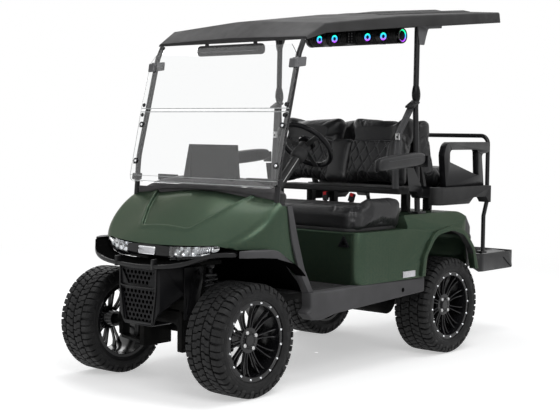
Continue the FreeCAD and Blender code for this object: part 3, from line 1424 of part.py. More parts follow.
def check_and_write():
    """Stop at a failed object, then write each sub-part."""
    doc.recompute()
    failed = [t.Name for t in doc.Objects if "Invalid" in t.State or "Error" in t.State]
    if failed:
        raise RuntimeError(f"failed objects: {failed}")
    broken = [name for name, thing in NODES.items() if not is_sound(thing.Shape)]
    if broken:
        raise RuntimeError(f"no valid solid in {broken}")
    os.makedirs("parts", exist_ok=True)
    for name, thing in NODES.items():
        thing.Shape.exportStep(f"parts/{name}.step")


make_frame()
make_floor()
make_side_trims()
make_battery()
for corner, side, axle_y in (("front_left", 1, FRONT_AXLE), ("front_right", -1, FRONT_AXLE),
                             ("rear_left", 1, REAR_AXLE), ("rear_right", -1, REAR_AXLE)):
    make_wheel(corner, side, axle_y)
make_knuckle("knuckle_left", 1)
make_knuckle("knuckle_right", -1)
make_front_suspension()
make_rear_axle()
make_cowl()
make_flares()
make_headlights()
make_fascia()
make_dash()
make_screen()
make_roof()
make_steering_wheel()
make_pedals()
make_rear_body()
make_bench()
make_backs()
make_seat_frame()
make_armrests()
make_belts()
make_rear_seat()
make_step()
check_and_write()
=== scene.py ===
"""The looks of a lifted electric cart with a rear-facing seat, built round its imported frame."""

from __future__ import annotations

import logging
import math
from contextlib import contextmanager
from dataclasses import dataclass
from enum import Enum
from typing import Any, Callable, Iterable, Iterator, Sequence

import bmesh
import bpy
import numpy as np
from mathutils import Matrix, Vector
from mathutils.bvhtree import BVHTree

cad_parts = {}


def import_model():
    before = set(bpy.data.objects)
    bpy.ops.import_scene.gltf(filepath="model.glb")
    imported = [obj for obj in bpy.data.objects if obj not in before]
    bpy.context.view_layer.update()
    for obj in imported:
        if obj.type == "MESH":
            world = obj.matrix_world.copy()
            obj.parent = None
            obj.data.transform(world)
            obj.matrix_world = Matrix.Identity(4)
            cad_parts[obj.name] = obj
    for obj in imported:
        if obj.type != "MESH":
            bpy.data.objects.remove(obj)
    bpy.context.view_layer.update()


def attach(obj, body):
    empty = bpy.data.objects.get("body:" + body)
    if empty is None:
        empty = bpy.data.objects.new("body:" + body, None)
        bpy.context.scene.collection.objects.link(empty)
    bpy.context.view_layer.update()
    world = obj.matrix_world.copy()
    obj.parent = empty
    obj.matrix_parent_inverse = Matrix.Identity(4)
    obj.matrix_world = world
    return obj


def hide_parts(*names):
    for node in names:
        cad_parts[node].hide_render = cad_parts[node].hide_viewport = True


LOG = logging.getLogger("cart")

Point = Sequence[float]
Colour = tuple[float, float, float]
Object = bpy.types.Object
Material = bpy.types.Material

FRONT_AXLE = -1.133
REAR_AXLE = 0.536
MIDDLE = -0.2985
AXLE_HEIGHT = 0.275
TRACK = 0.4545
SHARP = 32.0
SMOOTHEST = 0.02
DIAGONAL = 0.7071
MERGE = 1e-5
CLOTH_FRAMES = 20
CORNER_RUNS = 8
WHITE = (1.0, 1.0, 1.0, 1.0)


class Body(str, Enum):
    """The frame's moving bodies."""

    CHASSIS = "chassis"
    RACK = "rack"
    LEFT_KNUCKLE = "left_knuckle"
    RIGHT_KNUCKLE = "right_knuckle"
    WHEEL_FL = "wheel_fl"
    WHEEL_FR = "wheel_fr"
    WHEEL_RL = "wheel_rl"
    WHEEL_RR = "wheel_rr"
    HAND_WHEEL = "hand_wheel"
    BENCH = "bench"
    REAR_SEAT = "rear_seat"


class Slot(str, Enum):
    """The record's material slots."""

    BODY_PAINT = "body_paint"
    TRIM = "trim_plastic"
    DARK = "dark_plastic"
    ROOF = "roof_plastic"
    FRAME = "frame_steel"
    BARE = "bare_steel"
    WHEEL = "wheel_paint"
    TYRE = "tyre"
    VINYL = "vinyl"
    CLEAR = "clear"
    LAMP = "lamp"
    TAIL = "tail_lens"
    WEBBING = "webbing"


class Axis(Enum):
    """The direction that a flat outline is stretched along."""

    X = 0
    Y = 1
    Z = 2


def at(y: float) -> float:
    """Where a distance behind the middle of the wheelbase lies along the cart."""
    return MIDDLE + y


class Tree:
    """Adds and joins nodes in one node tree."""

    def __init__(self, tree: bpy.types.NodeTree) -> None:
        """Take hold of a tree.

        Args:
            tree: A shader or geometry node tree.
        """
        self.tree = tree

    def join(self, source: Any, target: bpy.types.NodeSocket) -> None:
        """Link a socket to another, or set a plain value on it.

        Args:
            source: An output socket or a value.
            target: The input socket that takes it.
        """
        if isinstance(source, bpy.types.NodeSocket):
            self.tree.links.new(source, target)
        else:
            target.default_value = source

    def add(self, kind: str, values: dict[Any, Any] | None = None,
            **settings: Any) -> bpy.types.Node:
        """Add a node.

        Args:
            kind: The node's type name.
            values: What each input socket gets, by its name or number.
            **settings: The node's own properties.

        Returns:
            The new node.
        """
        node = self.tree.nodes.new(kind)
        for key, value in settings.items():
            setattr(node, key, value)
        self.fill(node.inputs, values or {})
        return node

    def fill(self, inputs: Any, values: dict[Any, Any]) -> None:
        """Give several inputs their sockets or values, by name or number."""
        for key, value in values.items():
            self.join(value, inputs[key])

    def where(self) -> Any:
        """The place on the piece, in its own coordinates."""
        return self.add("ShaderNodeTexCoord").outputs["Object"]

    def height(self, where: Any) -> Any:
        """How far up a place is."""
        return self.add("ShaderNodeSeparateXYZ", {0: where}).outputs["Z"]

    def math(self, operation: str, first: Any, second: Any = 0.0) -> Any:
        """The result of a sum on two values or sockets."""
        return self.add("ShaderNodeMath", {0: first, 1: second}, operation=operation).outputs[0]

    def spread(self, value: Any, low: float, high: float) -> Any:
        """A value's place between two others, from 0 to 1, smooth at both ends."""
        return self.add(
            "ShaderNodeMapRange", {"Value": value, "From Min": low, "From Max": high},
            interpolation_type="SMOOTHSTEP").outputs["Result"]

    def mix(self, mask: Any, first: Any, second: Any, blend: str = "MIX") -> Any:
        """A colour between two others by a mask."""
        node = self.add(
            "ShaderNodeMix", {0: mask, 6: opaque(first), 7: opaque(second)}, data_type="RGBA",
            blend_type=blend)
        return node.outputs[2]

    def noise(self, where: Any, scale: Any, detail: float = 3.0) -> Any:
        """A cloudy value over the surface."""
        return self.add("ShaderNodeTexNoise",
            {"Vector": where, "Scale": scale, "Detail": detail}).outputs["Fac"]


def opaque(colour: Any) -> Any:
    """A colour of three numbers with full alpha added, or the socket as it is."""
    if isinstance(colour, tuple) and len(colour) == 3:
        return (*colour, 1.0)
    return colour


def shader_group(name: str) -> bpy.types.NodeTree:
    """One of the shared shader groups, made on first use.

    Args:
        name: The group's name.

    Returns:
        The node group.
    """
    found = bpy.data.node_groups.get(name)
    if found is not None:
        return found
    inputs, outputs, build = GROUPS[name]
    group = bpy.data.node_groups.new(name, "ShaderNodeTree")
    for label, start in inputs.items():
        socket = group.interface.new_socket(label, in_out="INPUT", socket_type="NodeSocketFloat")
        socket.default_value = start
    for label, kind in outputs.items():
        group.interface.new_socket(label, in_out="OUTPUT", socket_type=f"NodeSocket{kind}")
    tree = Tree(group)
    build(tree, tree.add("NodeGroupInput").outputs, tree.add("NodeGroupOutput").inputs)
    return group


def build_mottle(tree: Tree, given: Any, out: Any) -> None:
    """Fill the group for slow changes of tone over a surface."""
    where = tree.where()
    cloud = tree.noise(where, given["Scale"], 4.0)
    mapped = tree.add(
        "ShaderNodeMapRange", {"Value": cloud, "From Min": 0.3, "From Max": 0.7,
            "To Min": given["Low"], "To Max": given["High"]})
    tree.join(mapped.outputs["Result"], out["Value"])


def build_grain(tree: Tree, given: Any, out: Any) -> None:
    """Fill the group for the fine pebble of moulded plastic, powder coat and vinyl."""
    where = tree.where()
    cells = tree.add(
        "ShaderNodeTexVoronoi", {"Vector": where, "Scale": given["Scale"]},
        feature="SMOOTH_F1").outputs["Distance"]
    fine = tree.noise(where, tree.math("MULTIPLY", given["Scale"], 2.3), 2.0)
    height = tree.math("ADD", tree.math("MULTIPLY", cells, 0.7), tree.math("MULTIPLY", fine, 0.3))
    bump = tree.add(
        "ShaderNodeBump",
        {"Strength": given["Strength"], "Distance": given["Depth"], "Height": height})
    tree.join(bump.outputs["Normal"], out["Normal"])


def build_wear(tree: Tree, given: Any, out: Any) -> None:
    """Fill the group for edges rubbed paler by use."""
    where = tree.where()
    edge = tree.add("ShaderNodeNewGeometry").outputs["Pointiness"]
    sharp = tree.spread(edge, 0.52, 0.62)
    patchy = tree.spread(tree.noise(where, 28.0, 5.0), 0.42, 0.62)
    mask = tree.math("MULTIPLY", tree.math("MULTIPLY", sharp, patchy), given["Amount"])
    tree.join(mask, out["Mask"])


def build_dust(tree: Tree, given: Any, out: Any) -> None:
    """Fill the group for dust that thins out with height above the ground."""
    where = tree.where()
    height = tree.height(where)
    low = tree.add(
        "ShaderNodeMapRange", {"Value": height, "From Min": 0.0, "From Max": given["Reach"],
            "To Min": 1.0, "To Max": 0.0}).outputs["Result"]
    patchy = tree.spread(tree.noise(where, 9.0, 6.0), 0.38, 0.72)
    mask = tree.math("MULTIPLY", tree.math("MULTIPLY", low, patchy), given["Amount"])
    tree.join(mask, out["Mask"])


def build_flake(tree: Tree, given: Any, out: Any) -> None:
    """Fill the group for metal flakes below a clear coat."""
    where = tree.where()
    cells = tree.add("ShaderNodeTexVoronoi", {"Vector": where, "Scale": given["Scale"]})
    spark = tree.add("ShaderNodeSeparateColor", {0: cells.outputs["Color"]}).outputs[0]
    tone = tree.spread(spark, 0.55, 1.0)
    bump = tree.add(
        "ShaderNodeBump", {"Strength": given["Strength"], "Distance": 0.0004, "Height": spark})
    tree.join(tone, out["Tone"])
    tree.join(bump.outputs["Normal"], out["Normal"])


def build_weave(tree: Tree, given: Any, out: Any) -> None:
    """Fill the group for the over and under of woven webbing."""
    where = tree.where()
    axes = tree.add("ShaderNodeSeparateXYZ", {0: where}).outputs
    waves = []
    for axis, turn in ((0, 0.0), (2, 1.57)):
        angle = tree.math("MULTIPLY", axes[axis], given["Threads"])
        waves.append(tree.math("ABSOLUTE", tree.math("SINE", tree.math("ADD", angle, turn))))
    height = tree.math("MAXIMUM", waves[0], waves[1])
    bump = tree.add("ShaderNodeBump", {"Strength": 0.6, "Distance": 0.0006, "Height": height})
    # the threads' height goes out as Tone; Woven darkens the low places with it: painted shade
    # between the threads
    tree.join(height, out["Tone"])
    tree.join(bump.outputs["Normal"], out["Normal"])


GROUPS: dict[str, tuple[dict[str, float], dict[str, str], Callable]] = {
    "mottle": ({"Scale": 6.0, "Low": 0.0, "High": 1.0}, {"Value": "Float"}, build_mottle),
    "grain": (
        {"Scale": 900.0, "Strength": 0.4, "Depth": 0.0006}, {"Normal": "Vector"}, build_grain),
    "edge_wear": ({"Amount": 0.5}, {"Mask": "Float"}, build_wear),
    "dust": ({"Amount": 0.3, "Reach": 0.8}, {"Mask": "Float"}, build_dust),
    "flake": (
        {"Scale": 1600.0, "Strength": 0.1}, {"Tone": "Float", "Normal": "Vector"}, build_flake),
    "weave": ({"Threads": 1400.0}, {"Tone": "Float", "Normal": "Vector"}, build_weave)}


def effect(tree: Tree, name: str, **values: float) -> Any:
    """Place a shared effect in a material.

    Args:
        tree: The material's tree.
        name: One of the shared groups.
        **values: The group's inputs.

    Returns:
        The placed group's outputs.
    """
    node = tree.add("ShaderNodeGroup", node_tree=shader_group(name))
    for label, value in values.items():
        node.inputs[label].default_value = value
    return node.outputs


@dataclass(frozen=True)
class Finish:
    """A finish that a piece can take."""

    name: str
    colour: Colour
    roughness: float
    metallic: float = 0.0

    def material(self) -> Material:
        """The finish's material, made on first use."""
        found = bpy.data.materials.get(self.name)
        if found is not None:
            return found
        material = bpy.data.materials.new(self.name)
        material.use_nodes = True
        material.node_tree.nodes.clear()
        tree = Tree(material.node_tree)
        shader = tree.add(
            "ShaderNodeBsdfPrincipled", {"Base Color": opaque(self.colour),
                "Roughness": self.roughness, "Metallic": self.metallic})
        out = tree.add("ShaderNodeOutputMaterial")
        tree.join(shader.outputs["BSDF"], out.inputs["Surface"])
        tree.fill(shader.inputs, self.dress(tree))
        material.diffuse_color = opaque(self.colour)
        return material

    def dress(self, tree: Tree) -> dict[str, Any]:
        """Make the finish's surface: here a slow change of tone.

        Args:
            tree: The material's tree.

        Returns:
            What the plain shader's inputs get.
        """
        return {"Base Color": self.toned(tree, 7.0, 0.85, 1.15)}

    def toned(self, tree: Tree, scale: float, low: float, high: float, colour: Any = None) -> Any:
        """A colour, the finish's own unless one is given, with a slow change of tone."""
        tone = effect(tree, "mottle", Scale=scale, Low=low, High=high)["Value"]
        return tree.mix(1.0, colour or self.colour, grey_of(tree, tone), "MULTIPLY")

    def rough(self, tree: Tree, scale: float, less: float, more: float) -> Any:
        """A roughness that changes slowly round the finish's own."""
        low = max(SMOOTHEST, self.roughness - less)
        return effect(tree, "mottle", Scale=scale, Low=low, High=self.roughness + more)["Value"]


def grey_of(tree: Tree, value: Any) -> Any:
    """A value as a grey colour socket."""
    return tree.add("ShaderNodeCombineColor", {0: value, 1: value, 2: value}).outputs[0]


def grain_of(tree: Tree, scale: float, strength: float, depth: float) -> Any:
    """The normal of a pebbled surface."""
    return effect(tree, "grain", Scale=scale, Strength=strength, Depth=depth)["Normal"]


@dataclass(frozen=True)
class Moulded(Finish):
    """Moulded plastic or powder coat: pebbled, a little uneven, paler at rubbed edges."""

    scale: float = 850.0
    strength: float = 0.35
    depth: float = 0.0005
    wear: float = 0.35
    dust: float = 0.03
    reach: float = 0.9
    gloss: float = 0.12

    def dress(self, tree: Tree) -> dict[str, Any]:
        """Add grain, tone, rubbed edges and a little dust."""
        base = self.toned(tree, 5.0, 0.86, 1.12)
        worn = effect(tree, "edge_wear", Amount=self.wear)["Mask"]
        paler = tuple(min(1.0, channel * 1.9 + 0.006) for channel in self.colour)
        dust = effect(tree, "dust", Amount=self.dust, Reach=self.reach)["Mask"]
        dusty = tree.math("MULTIPLY", dust, 0.2)
        return {
            "Base Color": tree.mix(dust, tree.mix(worn, base, paler), (0.16, 0.15, 0.135)),
            "Roughness": tree.math("ADD", self.rough(tree, 11.0, 0.06, 0.08), dusty),
            "Normal": grain_of(tree, self.scale, self.strength, self.depth),
            "Specular IOR Level": self.gloss,
        }


@dataclass(frozen=True)
class Paint(Finish):
    """Metallic paint below a clear coat."""

    # The flakes' pale olive: partly their own colour, partly a painted glint.
    glint: Colour = (0.26, 0.27, 0.15)

    def dress(self, tree: Tree) -> dict[str, Any]:
        """Add flakes with a painted glint, a soft change of tone, road dust and the clear coat."""
        flake = effect(tree, "flake", Scale=1500.0, Strength=0.12)
        base = self.toned(tree, 2.6, 0.92, 1.08)
        # flake cells are mixed towards the glint colour: the flakes' own colour with a painted
        # glint in it
        base = tree.mix(tree.math("MULTIPLY", flake["Tone"], 0.35), base, self.glint)
        dust = effect(tree, "dust", Amount=0.03, Reach=0.75)["Mask"]
        dusty = tree.math("MULTIPLY", dust, 0.3)
        return {
            "Base Color": tree.mix(dust, base, (0.13, 0.125, 0.11)),
            "Roughness": tree.math("ADD", self.rough(tree, 4.0, 0.03, 0.04), dusty),
            "Normal": flake["Normal"],
            "Specular IOR Level": 0.12,
            "Specular Tint": (0.42, 0.43, 0.36, 1.0),
            "Coat Weight": 0.1,
            "Coat Roughness": 0.12,
            "Coat IOR": 1.5,
        }


@dataclass(frozen=True)
class Rubber(Finish):
    """Tyre rubber with dust that gathers low."""

    def dress(self, tree: Tree) -> dict[str, Any]:
        """Add grain, faded tone and dust that gathers low."""
        base = self.toned(tree, 18.0, 0.75, 1.3)
        worn = effect(tree, "edge_wear", Amount=0.5)["Mask"]
        base = tree.mix(worn, base, (0.03, 0.03, 0.03))
        dust = effect(tree, "dust", Amount=0.04, Reach=0.7)["Mask"]
        return {
            "Base Color": tree.mix(dust, base, (0.12, 0.115, 0.105)),
            "Roughness": self.rough(tree, 25.0, 0.08, 0.08),
            "Normal": grain_of(tree, 620.0, 0.4, 0.0007),
            "Specular IOR Level": 0.22,
        }


@dataclass(frozen=True)
class Vinyl(Finish):
    """Seat vinyl with a leather grain, glossier in patches."""

    def dress(self, tree: Tree) -> dict[str, Any]:
        """Add leather grain, slow tone and patches of polish."""
        worn = effect(tree, "edge_wear", Amount=0.25)["Mask"]
        base = self.toned(tree, 6.0, 0.82, 1.18)
        return {
            "Base Color": tree.mix(worn, base, (0.035, 0.035, 0.036)),
            "Roughness": self.rough(tree, 8.0, 0.07, 0.09),
            "Normal": grain_of(tree, 480.0, 0.45, 0.0008),
            "Specular IOR Level": 0.35,
            "Sheen Weight": 0.04,
            "Sheen Roughness": 0.5,
        }


@dataclass(frozen=True)
class Woven(Finish):
    """Belt webbing."""

    def dress(self, tree: Tree) -> dict[str, Any]:
        """Add the weave, with painted shade where the threads dip low, and its change of tone."""
        weave = effect(tree, "weave", Threads=1500.0)
        # the weave's low places are darkened to 0.55: painted shade between the threads
        dark = tuple(channel * 0.55 for channel in self.colour)
        base = tree.mix(weave["Tone"], dark, self.colour)
        return {
            "Base Color": self.toned(tree, 20.0, 0.85, 1.12, base),
            "Normal": weave["Normal"],
            "Sheen Weight": 0.3,
        }


@dataclass(frozen=True)
class Metal(Finish):
    """Bright or bare metal with faint scratches and handling marks."""

    scratch: float = 0.12

    def dress(self, tree: Tree) -> dict[str, Any]:
        """Add uneven polish and a fine brushed bump."""
        return {
            "Base Color": self.toned(tree, 14.0, 0.85, 1.1),
            "Roughness": self.rough(tree, 30.0, 0.05, 0.1),
            "Normal": grain_of(tree, 1400.0, self.scratch, 0.0003),
        }


@dataclass(frozen=True)
class Clear(Finish):
    """Clear or tinted plastic that light passes through."""

    def dress(self, tree: Tree) -> dict[str, Any]:
        """Let light through, with the faint haze of wiping."""
        haze = effect(tree, "mottle", Scale=3.5, Low=0.0, High=self.roughness)["Value"]
        return {"Transmission Weight": 1.0, "IOR": 1.49, "Roughness": haze}


@dataclass(frozen=True)
class Glow(Finish):
    """A lit ring that runs from one colour at its foot to another at its top."""

    top: Colour = (0.0, 1.0, 0.35)
    middle: Colour = (0.03, 0.45, 1.0)
    foot: Colour = (0.45, 0.05, 1.0)
    centre: float = 1.812
    reach: float = 0.024
    power: float = 1.7

    def dress(self, tree: Tree) -> dict[str, Any]:
        """Colour the light by height."""
        height = tree.height(tree.where())
        low = tree.spread(height, self.centre - self.reach, self.centre)
        high = tree.spread(height, self.centre, self.centre + self.reach)
        light = tree.mix(high, tree.mix(low, self.foot, self.middle), self.top)
        return {"Emission Color": light, "Emission Strength": self.power}


PAINT = Paint("green_paint", (0.027, 0.054, 0.039), 0.33, 0.62)
TRIM = Moulded("trim_moulding", (0.08, 0.079, 0.082), 0.6, gloss=0.12)
GLOSS_TRIM = Moulded("gloss_trim", (0.007, 0.007, 0.0075), 0.34, strength=0.1, gloss=0.25)
DARK = Moulded("dark_moulding_rough", (0.018, 0.018, 0.0185), 0.62, gloss=0.3)
DARK_GLOSS = Moulded("dark_moulding", (0.006, 0.006, 0.007), 0.32, strength=0.15, gloss=0.14)
# Near-black with no gloss: painted shade, for faces and sheets that stand in shade.
PAINTED_SHADE = Moulded("deep_shade", (0.003, 0.003, 0.003), 0.9, dust=0.0, gloss=0.0)
DASH_TOP = Moulded("dash_plastic", (0.105, 0.101, 0.104), 0.6, scale=700.0)
GREY_PAD = Moulded("grey_pad", (0.16, 0.16, 0.165), 0.5, dust=0.0)
ROOF = Moulded("roof_moulding", (0.042, 0.0415, 0.042), 0.6, scale=600.0, strength=0.25)
STEEL = Moulded("black_coat", (0.007, 0.007, 0.008), 0.34, strength=0.2, wear=0.5, gloss=0.3)
CHASSIS_STEEL = Moulded("chassis_coat", (0.007, 0.007, 0.007), 0.55, dust=0.08, gloss=0.05)
BARE = Metal("bare_steel", (0.42, 0.42, 0.43), 0.32, 1.0)
SATIN = Metal("satin_plate", (0.5, 0.5, 0.52), 0.3, 1.0)
CHROME = Metal("bright_chrome", (0.82, 0.83, 0.85), 0.09, 1.0, scratch=0.03)
BOWL = Metal("lamp_bowl", (0.95, 0.96, 0.97), 0.22, 1.0, scratch=0.02)
BOLT = Metal("bright_bolt", (0.75, 0.76, 0.78), 0.16, 1.0)
WHEEL = Moulded(
    "gloss_black", (0.005, 0.005, 0.006), 0.2, strength=0.06, wear=0.2, dust=0.02, gloss=0.4)
TYRE = Rubber("tyre_rubber", (0.0085, 0.0085, 0.009), 0.62)
VINYL = Vinyl("black_vinyl", (0.01, 0.01, 0.011), 0.42)
THREAD = Finish("seam_thread", (0.11, 0.11, 0.115), 0.6)
WEBBING = Woven("belt_webbing", (0.075, 0.075, 0.078), 0.75)
PANE = Clear("clear_pane", (0.955, 0.962, 0.962), 0.02)
FROST = Moulded("frosted_edge", (0.55, 0.57, 0.57), 0.4, dust=0.0)
LENS = Clear("lamp_lens", (0.97, 0.98, 0.985), 0.02)
LAMP_WHITE = Finish("lamp_white", (0.8, 0.82, 0.84), 0.35)
RED = Moulded("buckle_red", (0.45, 0.015, 0.02), 0.35, dust=0.0)
GLOW = Glow("ring_light", (0.02, 0.02, 0.02), 0.3)
BLACK_GLOSS = Moulded(
    "piano_black", (0.003, 0.003, 0.004), 0.14, strength=0.03, dust=0.0, gloss=0.3)
CONE = Moulded("speaker_cone", (0.006, 0.006, 0.0065), 0.6)


def linked(name: str, mesh: bpy.types.Mesh) -> Object:
    """A new object that shows a mesh."""
    thing = bpy.data.objects.new(name, mesh)
    bpy.context.scene.collection.objects.link(thing)
    return thing


def from_faces(name: str, points: Iterable[Point], faces: Iterable[Sequence[int]]) -> Object:
    """An object from its corner points and faces.

    Args:
        name: The piece's name.
        points: The corners, in metres.
        faces: Corner numbers of each face.

    Returns:
        The new object.
    """
    mesh = bpy.data.meshes.new(name)
    mesh.from_pydata([tuple(p) for p in points], [], [tuple(f) for f in faces])
    mesh.validate()
    return linked(name, mesh)


@contextmanager
def reshaped(thing: Object) -> Iterator[bmesh.types.BMesh]:
    """A piece's mesh, open to changes that are kept when the block ends."""
    shape = bmesh.new()
    shape.from_mesh(thing.data)
    yield shape
    shape.to_mesh(thing.data)
    shape.free()


def tidy(thing: Object) -> Object:
    """Merge doubled points and turn the faces outwards."""
    with reshaped(thing) as shape:
        bmesh.ops.remove_doubles(shape, verts=shape.verts, dist=MERGE)
        bmesh.ops.recalc_face_normals(shape, faces=shape.faces)
    return thing


def without(thing: Object, test: Callable[[Vector], bool]) -> Object:
    """Take away the points of a piece that a test picks by their place."""
    with reshaped(thing) as shape:
        gone = [v for v in shape.verts if test(v.co)]
        bmesh.ops.delete(shape, geom=gone, context="VERTS")
    return thing


def spots_of(thing: Object, kind: str = "co") -> np.ndarray:
    """The place of each of a piece's points, or its normal."""
    flat = np.zeros(len(thing.data.vertices) * 3)
    thing.data.vertices.foreach_get(kind, flat)
    return flat.reshape(-1, 3)


def set_spots(thing: Object, spots: np.ndarray) -> None:
    """Move each of a piece's points to its new place."""
    thing.data.vertices.foreach_set("co", spots.reshape(-1))
    thing.data.update()


def modified(thing: Object, kind: str, **settings: Any) -> Object:
    """Put a modifier on a piece.

    Args:
        thing: The piece.
        kind: The modifier's type name.
        **settings: The modifier's properties.

    Returns:
        The same piece.
    """
    modifier = thing.modifiers.new(kind.title(), kind)
    for key, value in settings.items():
        setattr(modifier, key, value)
    return thing


def settled(thing: Object) -> Object:
    """Turn a piece and its modifiers into a plain mesh."""
    bpy.context.view_layer.update()
    graph = bpy.context.evaluated_depsgraph_get()
    mesh = bpy.data.meshes.new_from_object(
        thing.evaluated_get(graph), preserve_all_data_layers=True, depsgraph=graph)
    thing.modifiers.clear()
    thing.data = mesh
    return thing


def rounded(thing: Object, width: float = 0.002, segments: int = 2,
            angle: float = SHARP) -> Object:
    """Round a piece's sharp edges.

    Args:
        thing: The piece.
        width: How wide each rounded edge is.
        segments: The steps across it.
        angle: Edges sharper than this many degrees are rounded.

    Returns:
        The same piece with its modifier applied.
    """
    modified(
        thing, "BEVEL", width=width, segments=segments, limit_method="ANGLE",
        angle_limit=math.radians(angle), harden_normals=True, miter_outer="MITER_ARC")
    return settled(thing)


def smoothed(thing: Object) -> Object:
    """Give a piece one level of subdivision, applied."""
    modified(thing, "SUBSURF", levels=1, render_levels=1)
    return settled(thing)


def shaded(thing: Object, angle: float = SHARP) -> Object:
    """Shade a piece smooth, with edges past an angle kept sharp."""
    thing.data.shade_smooth()
    thing.data.set_sharp_from_angle(angle=math.radians(angle))
    return thing


def joined(name: str, things: Sequence[Object]) -> Object:
    """Join pieces into one mesh, each keeping its materials.

    Args:
        name: The name of the joined piece.
        things: The pieces, which are used up.

    Returns:
        The joined piece.
    """
    base = linked(name, bpy.data.meshes.new(name))
    with bpy.context.temp_override(active_object=base, object=base,
                                   selected_objects=[base, *things],
                                   selected_editable_objects=[base, *things]):
        bpy.ops.object.join()
    return base


def moved(thing: Object, matrix: Matrix) -> Object:
    """Move a piece's mesh, not its object."""
    thing.data.transform(matrix)
    return thing


def copied(thing: Object, name: str, matrix: Matrix) -> Object:
    """A copy of a piece, moved to its own place."""
    return moved(linked(name, thing.data.copy()), matrix)


def mirrored(thing: Object, name: str) -> Object:
    """A copy of a piece on the cart's other side, its faces still outwards."""
    other = copied(thing, name, Matrix.Scale(-1.0, 4, (1, 0, 0)))
    other.data.flip_normals()
    return other


def both(thing: Object, name: str) -> Object:
    """A piece joined with its mirror image."""
    return joined(name, [thing, mirrored(thing, name + "_other")])


def painted(thing: Object, finish: Finish) -> Object:
    """Give a whole piece one finish."""
    thing.data.materials.clear()
    thing.data.materials.append(finish.material())
    return thing


def finished(thing: Object, finish: Finish, angle: float = SHARP,
             place: Matrix | None = None) -> Object:
    """Shade a piece, set it in its place and give it one finish.

    Args:
        thing: The piece.
        finish: What it is made of.
        angle: Edges past this many degrees are kept sharp.
        place: Where its mesh goes, or nothing where it is drawn in place.

    Returns:
        The same piece.
    """
    shaded(thing, angle)
    return painted(moved(thing, place) if place else thing, finish)


def retouched(thing: Object, finish: Finish, test: Callable[[Vector, Vector], bool]) -> Object:
    """Give some of a piece's faces another finish.

    Args:
        thing: The piece, which has its first finish.
        finish: The other finish.
        test: Picks faces by their middle and their normal.

    Returns:
        The same piece.
    """
    thing.data.materials.append(finish.material())
    index = len(thing.data.materials) - 1
    for face in thing.data.polygons:
        if test(face.center, face.normal):
            face.material_index = index
    return thing


def placed(thing: Object, slot: Slot, *nodes: str, body: Body = Body.CHASSIS) -> Object:
    """Put a finished piece on its body.

    Args:
        thing: The piece.
        slot: The record's slot for its finish; not used.
        *nodes: The frame's parts that it stands for.
        body: The body that it rides on.

    Returns:
        The same piece.
    """
    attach(thing, body.value)
    if nodes:
        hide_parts(*nodes)
    LOG.info("%s: %d faces on %s", thing.name, len(thing.data.polygons), body.value)
    return thing


def arc_corner(before: Vector, spot: Vector, after: Vector, radius: float,
               steps: int) -> list[Vector]:
    """The points that round one corner of an outline.

    Args:
        before: The corner before it.
        spot: The corner.
        after: The corner after it.
        radius: The radius of the rounding.
        steps: The number of runs in the arc.

    Returns:
        The arc's points, from its start to its end.
    """
    there, onward = (before - spot).normalized(), (after - spot).normalized()
    half = there.angle(onward) / 2
    if radius <= 0 or half > 1.56:
        return [spot]
    reach = min(
        radius / math.tan(half), (before - spot).length * 0.49, (after - spot).length * 0.49)
    radius = reach * math.tan(half)
    centre = spot + (there + onward).normalized() * (radius / math.sin(half))
    start, stop = spot + there * reach - centre, spot + onward * reach - centre
    turn = start.angle(stop)
    points = []
    for step in range(steps + 1):
        share = step / steps
        mixed = (start * math.sin((1 - share) * turn) + stop * math.sin(share * turn))
        points.append(centre + mixed / math.sin(turn))
    return points


def outline(corners: Sequence[Point], steps: int = 6) -> list[tuple[float, float]]:
    """A closed outline with its corners rounded.

    Args:
        corners: Each corner's two places and, where it is round, its radius.
        steps: The runs in each rounded corner.

    Returns:
        The outline's points.
    """
    spots = [Vector((c[0], c[1], 0.0)) for c in corners]
    points: list[tuple[float, float]] = []
    for index, corner in enumerate(corners):
        if len(corner) > 2:
            ring = arc_corner(
                spots[index - 1], spots[index], spots[(index + 1) % len(spots)], corner[2], steps)
        else:
            ring = [spots[index]]
        points += [(p.x, p.y) for p in ring]
    return points


def spot_on(axis: Axis, along: float, u: float, v: float) -> tuple[float, float, float]:
    """The point at two places across an axis and one along it."""
    if axis is Axis.X:
        return (along, u, v)
    if axis is Axis.Y:
        return (u, along, v)
    return (u, v, along)


def stretched(name: str, axis: Axis, corners: Sequence[Point], low: float, high: float,
              bevel: float = 0.0) -> Object:
    """A flat outline made solid along an axis.

    Args:
        name: The piece's name.
        axis: The direction that it is stretched along.
        corners: The outline, as in outline().
        low: Where it starts.
        high: Where it ends.
        bevel: The width of its rounded edges.

    Returns:
        The new piece.
    """
    ring = outline(corners)
    count = len(ring)
    points = [spot_on(axis, place, u, v) for place in (low, high) for u, v in ring]
    faces = [[*range(count)], [*range(count, count * 2)]]
    faces += [[i, (i + 1) % count, count + (i + 1) % count, count + i] for i in range(count)]
    thing = tidy(from_faces(name, points, faces))
    return rounded(thing, bevel) if bevel else thing


def slab(name: str, axis: Axis, sides: Sequence[float], radius: float, low: float, high: float,
         bevel: float = 0.0) -> Object:
    """A rectangle made solid along an axis.

    Args:
        name: The piece's name.
        axis: The direction that it is stretched along.
        sides: Where it starts and ends in one direction, and then in the other.
        radius: The radius of its corners.
        low: Where it starts along the axis.
        high: Where it ends along the axis.
        bevel: The width of its rounded edges.

    Returns:
        The new piece.
    """
    left, right, foot, top = sides
    corners = [
        (left, foot, radius), (right, foot, radius), (right, top, radius), (left, top, radius)]
    return stretched(name, axis, corners, low, high, bevel)


def grid_faces(rows: int, count: int, closed: bool, turned_round: bool) -> list[list[int]]:
    """The faces between rows of points.

    Args:
        rows: The number of rows.
        count: The points in each row.
        closed: Whether each row closes on itself.
        turned_round: Whether the last row meets the first.

    Returns:
        The corner numbers of each face.
    """
    faces = []
    for row in range(rows if turned_round else rows - 1):
        start, after = row * count, (row + 1) % rows * count
        for i in range(count if closed else count - 1):
            j = (i + 1) % count
            faces.append([start + i, start + j, after + j, after + i])
    return faces


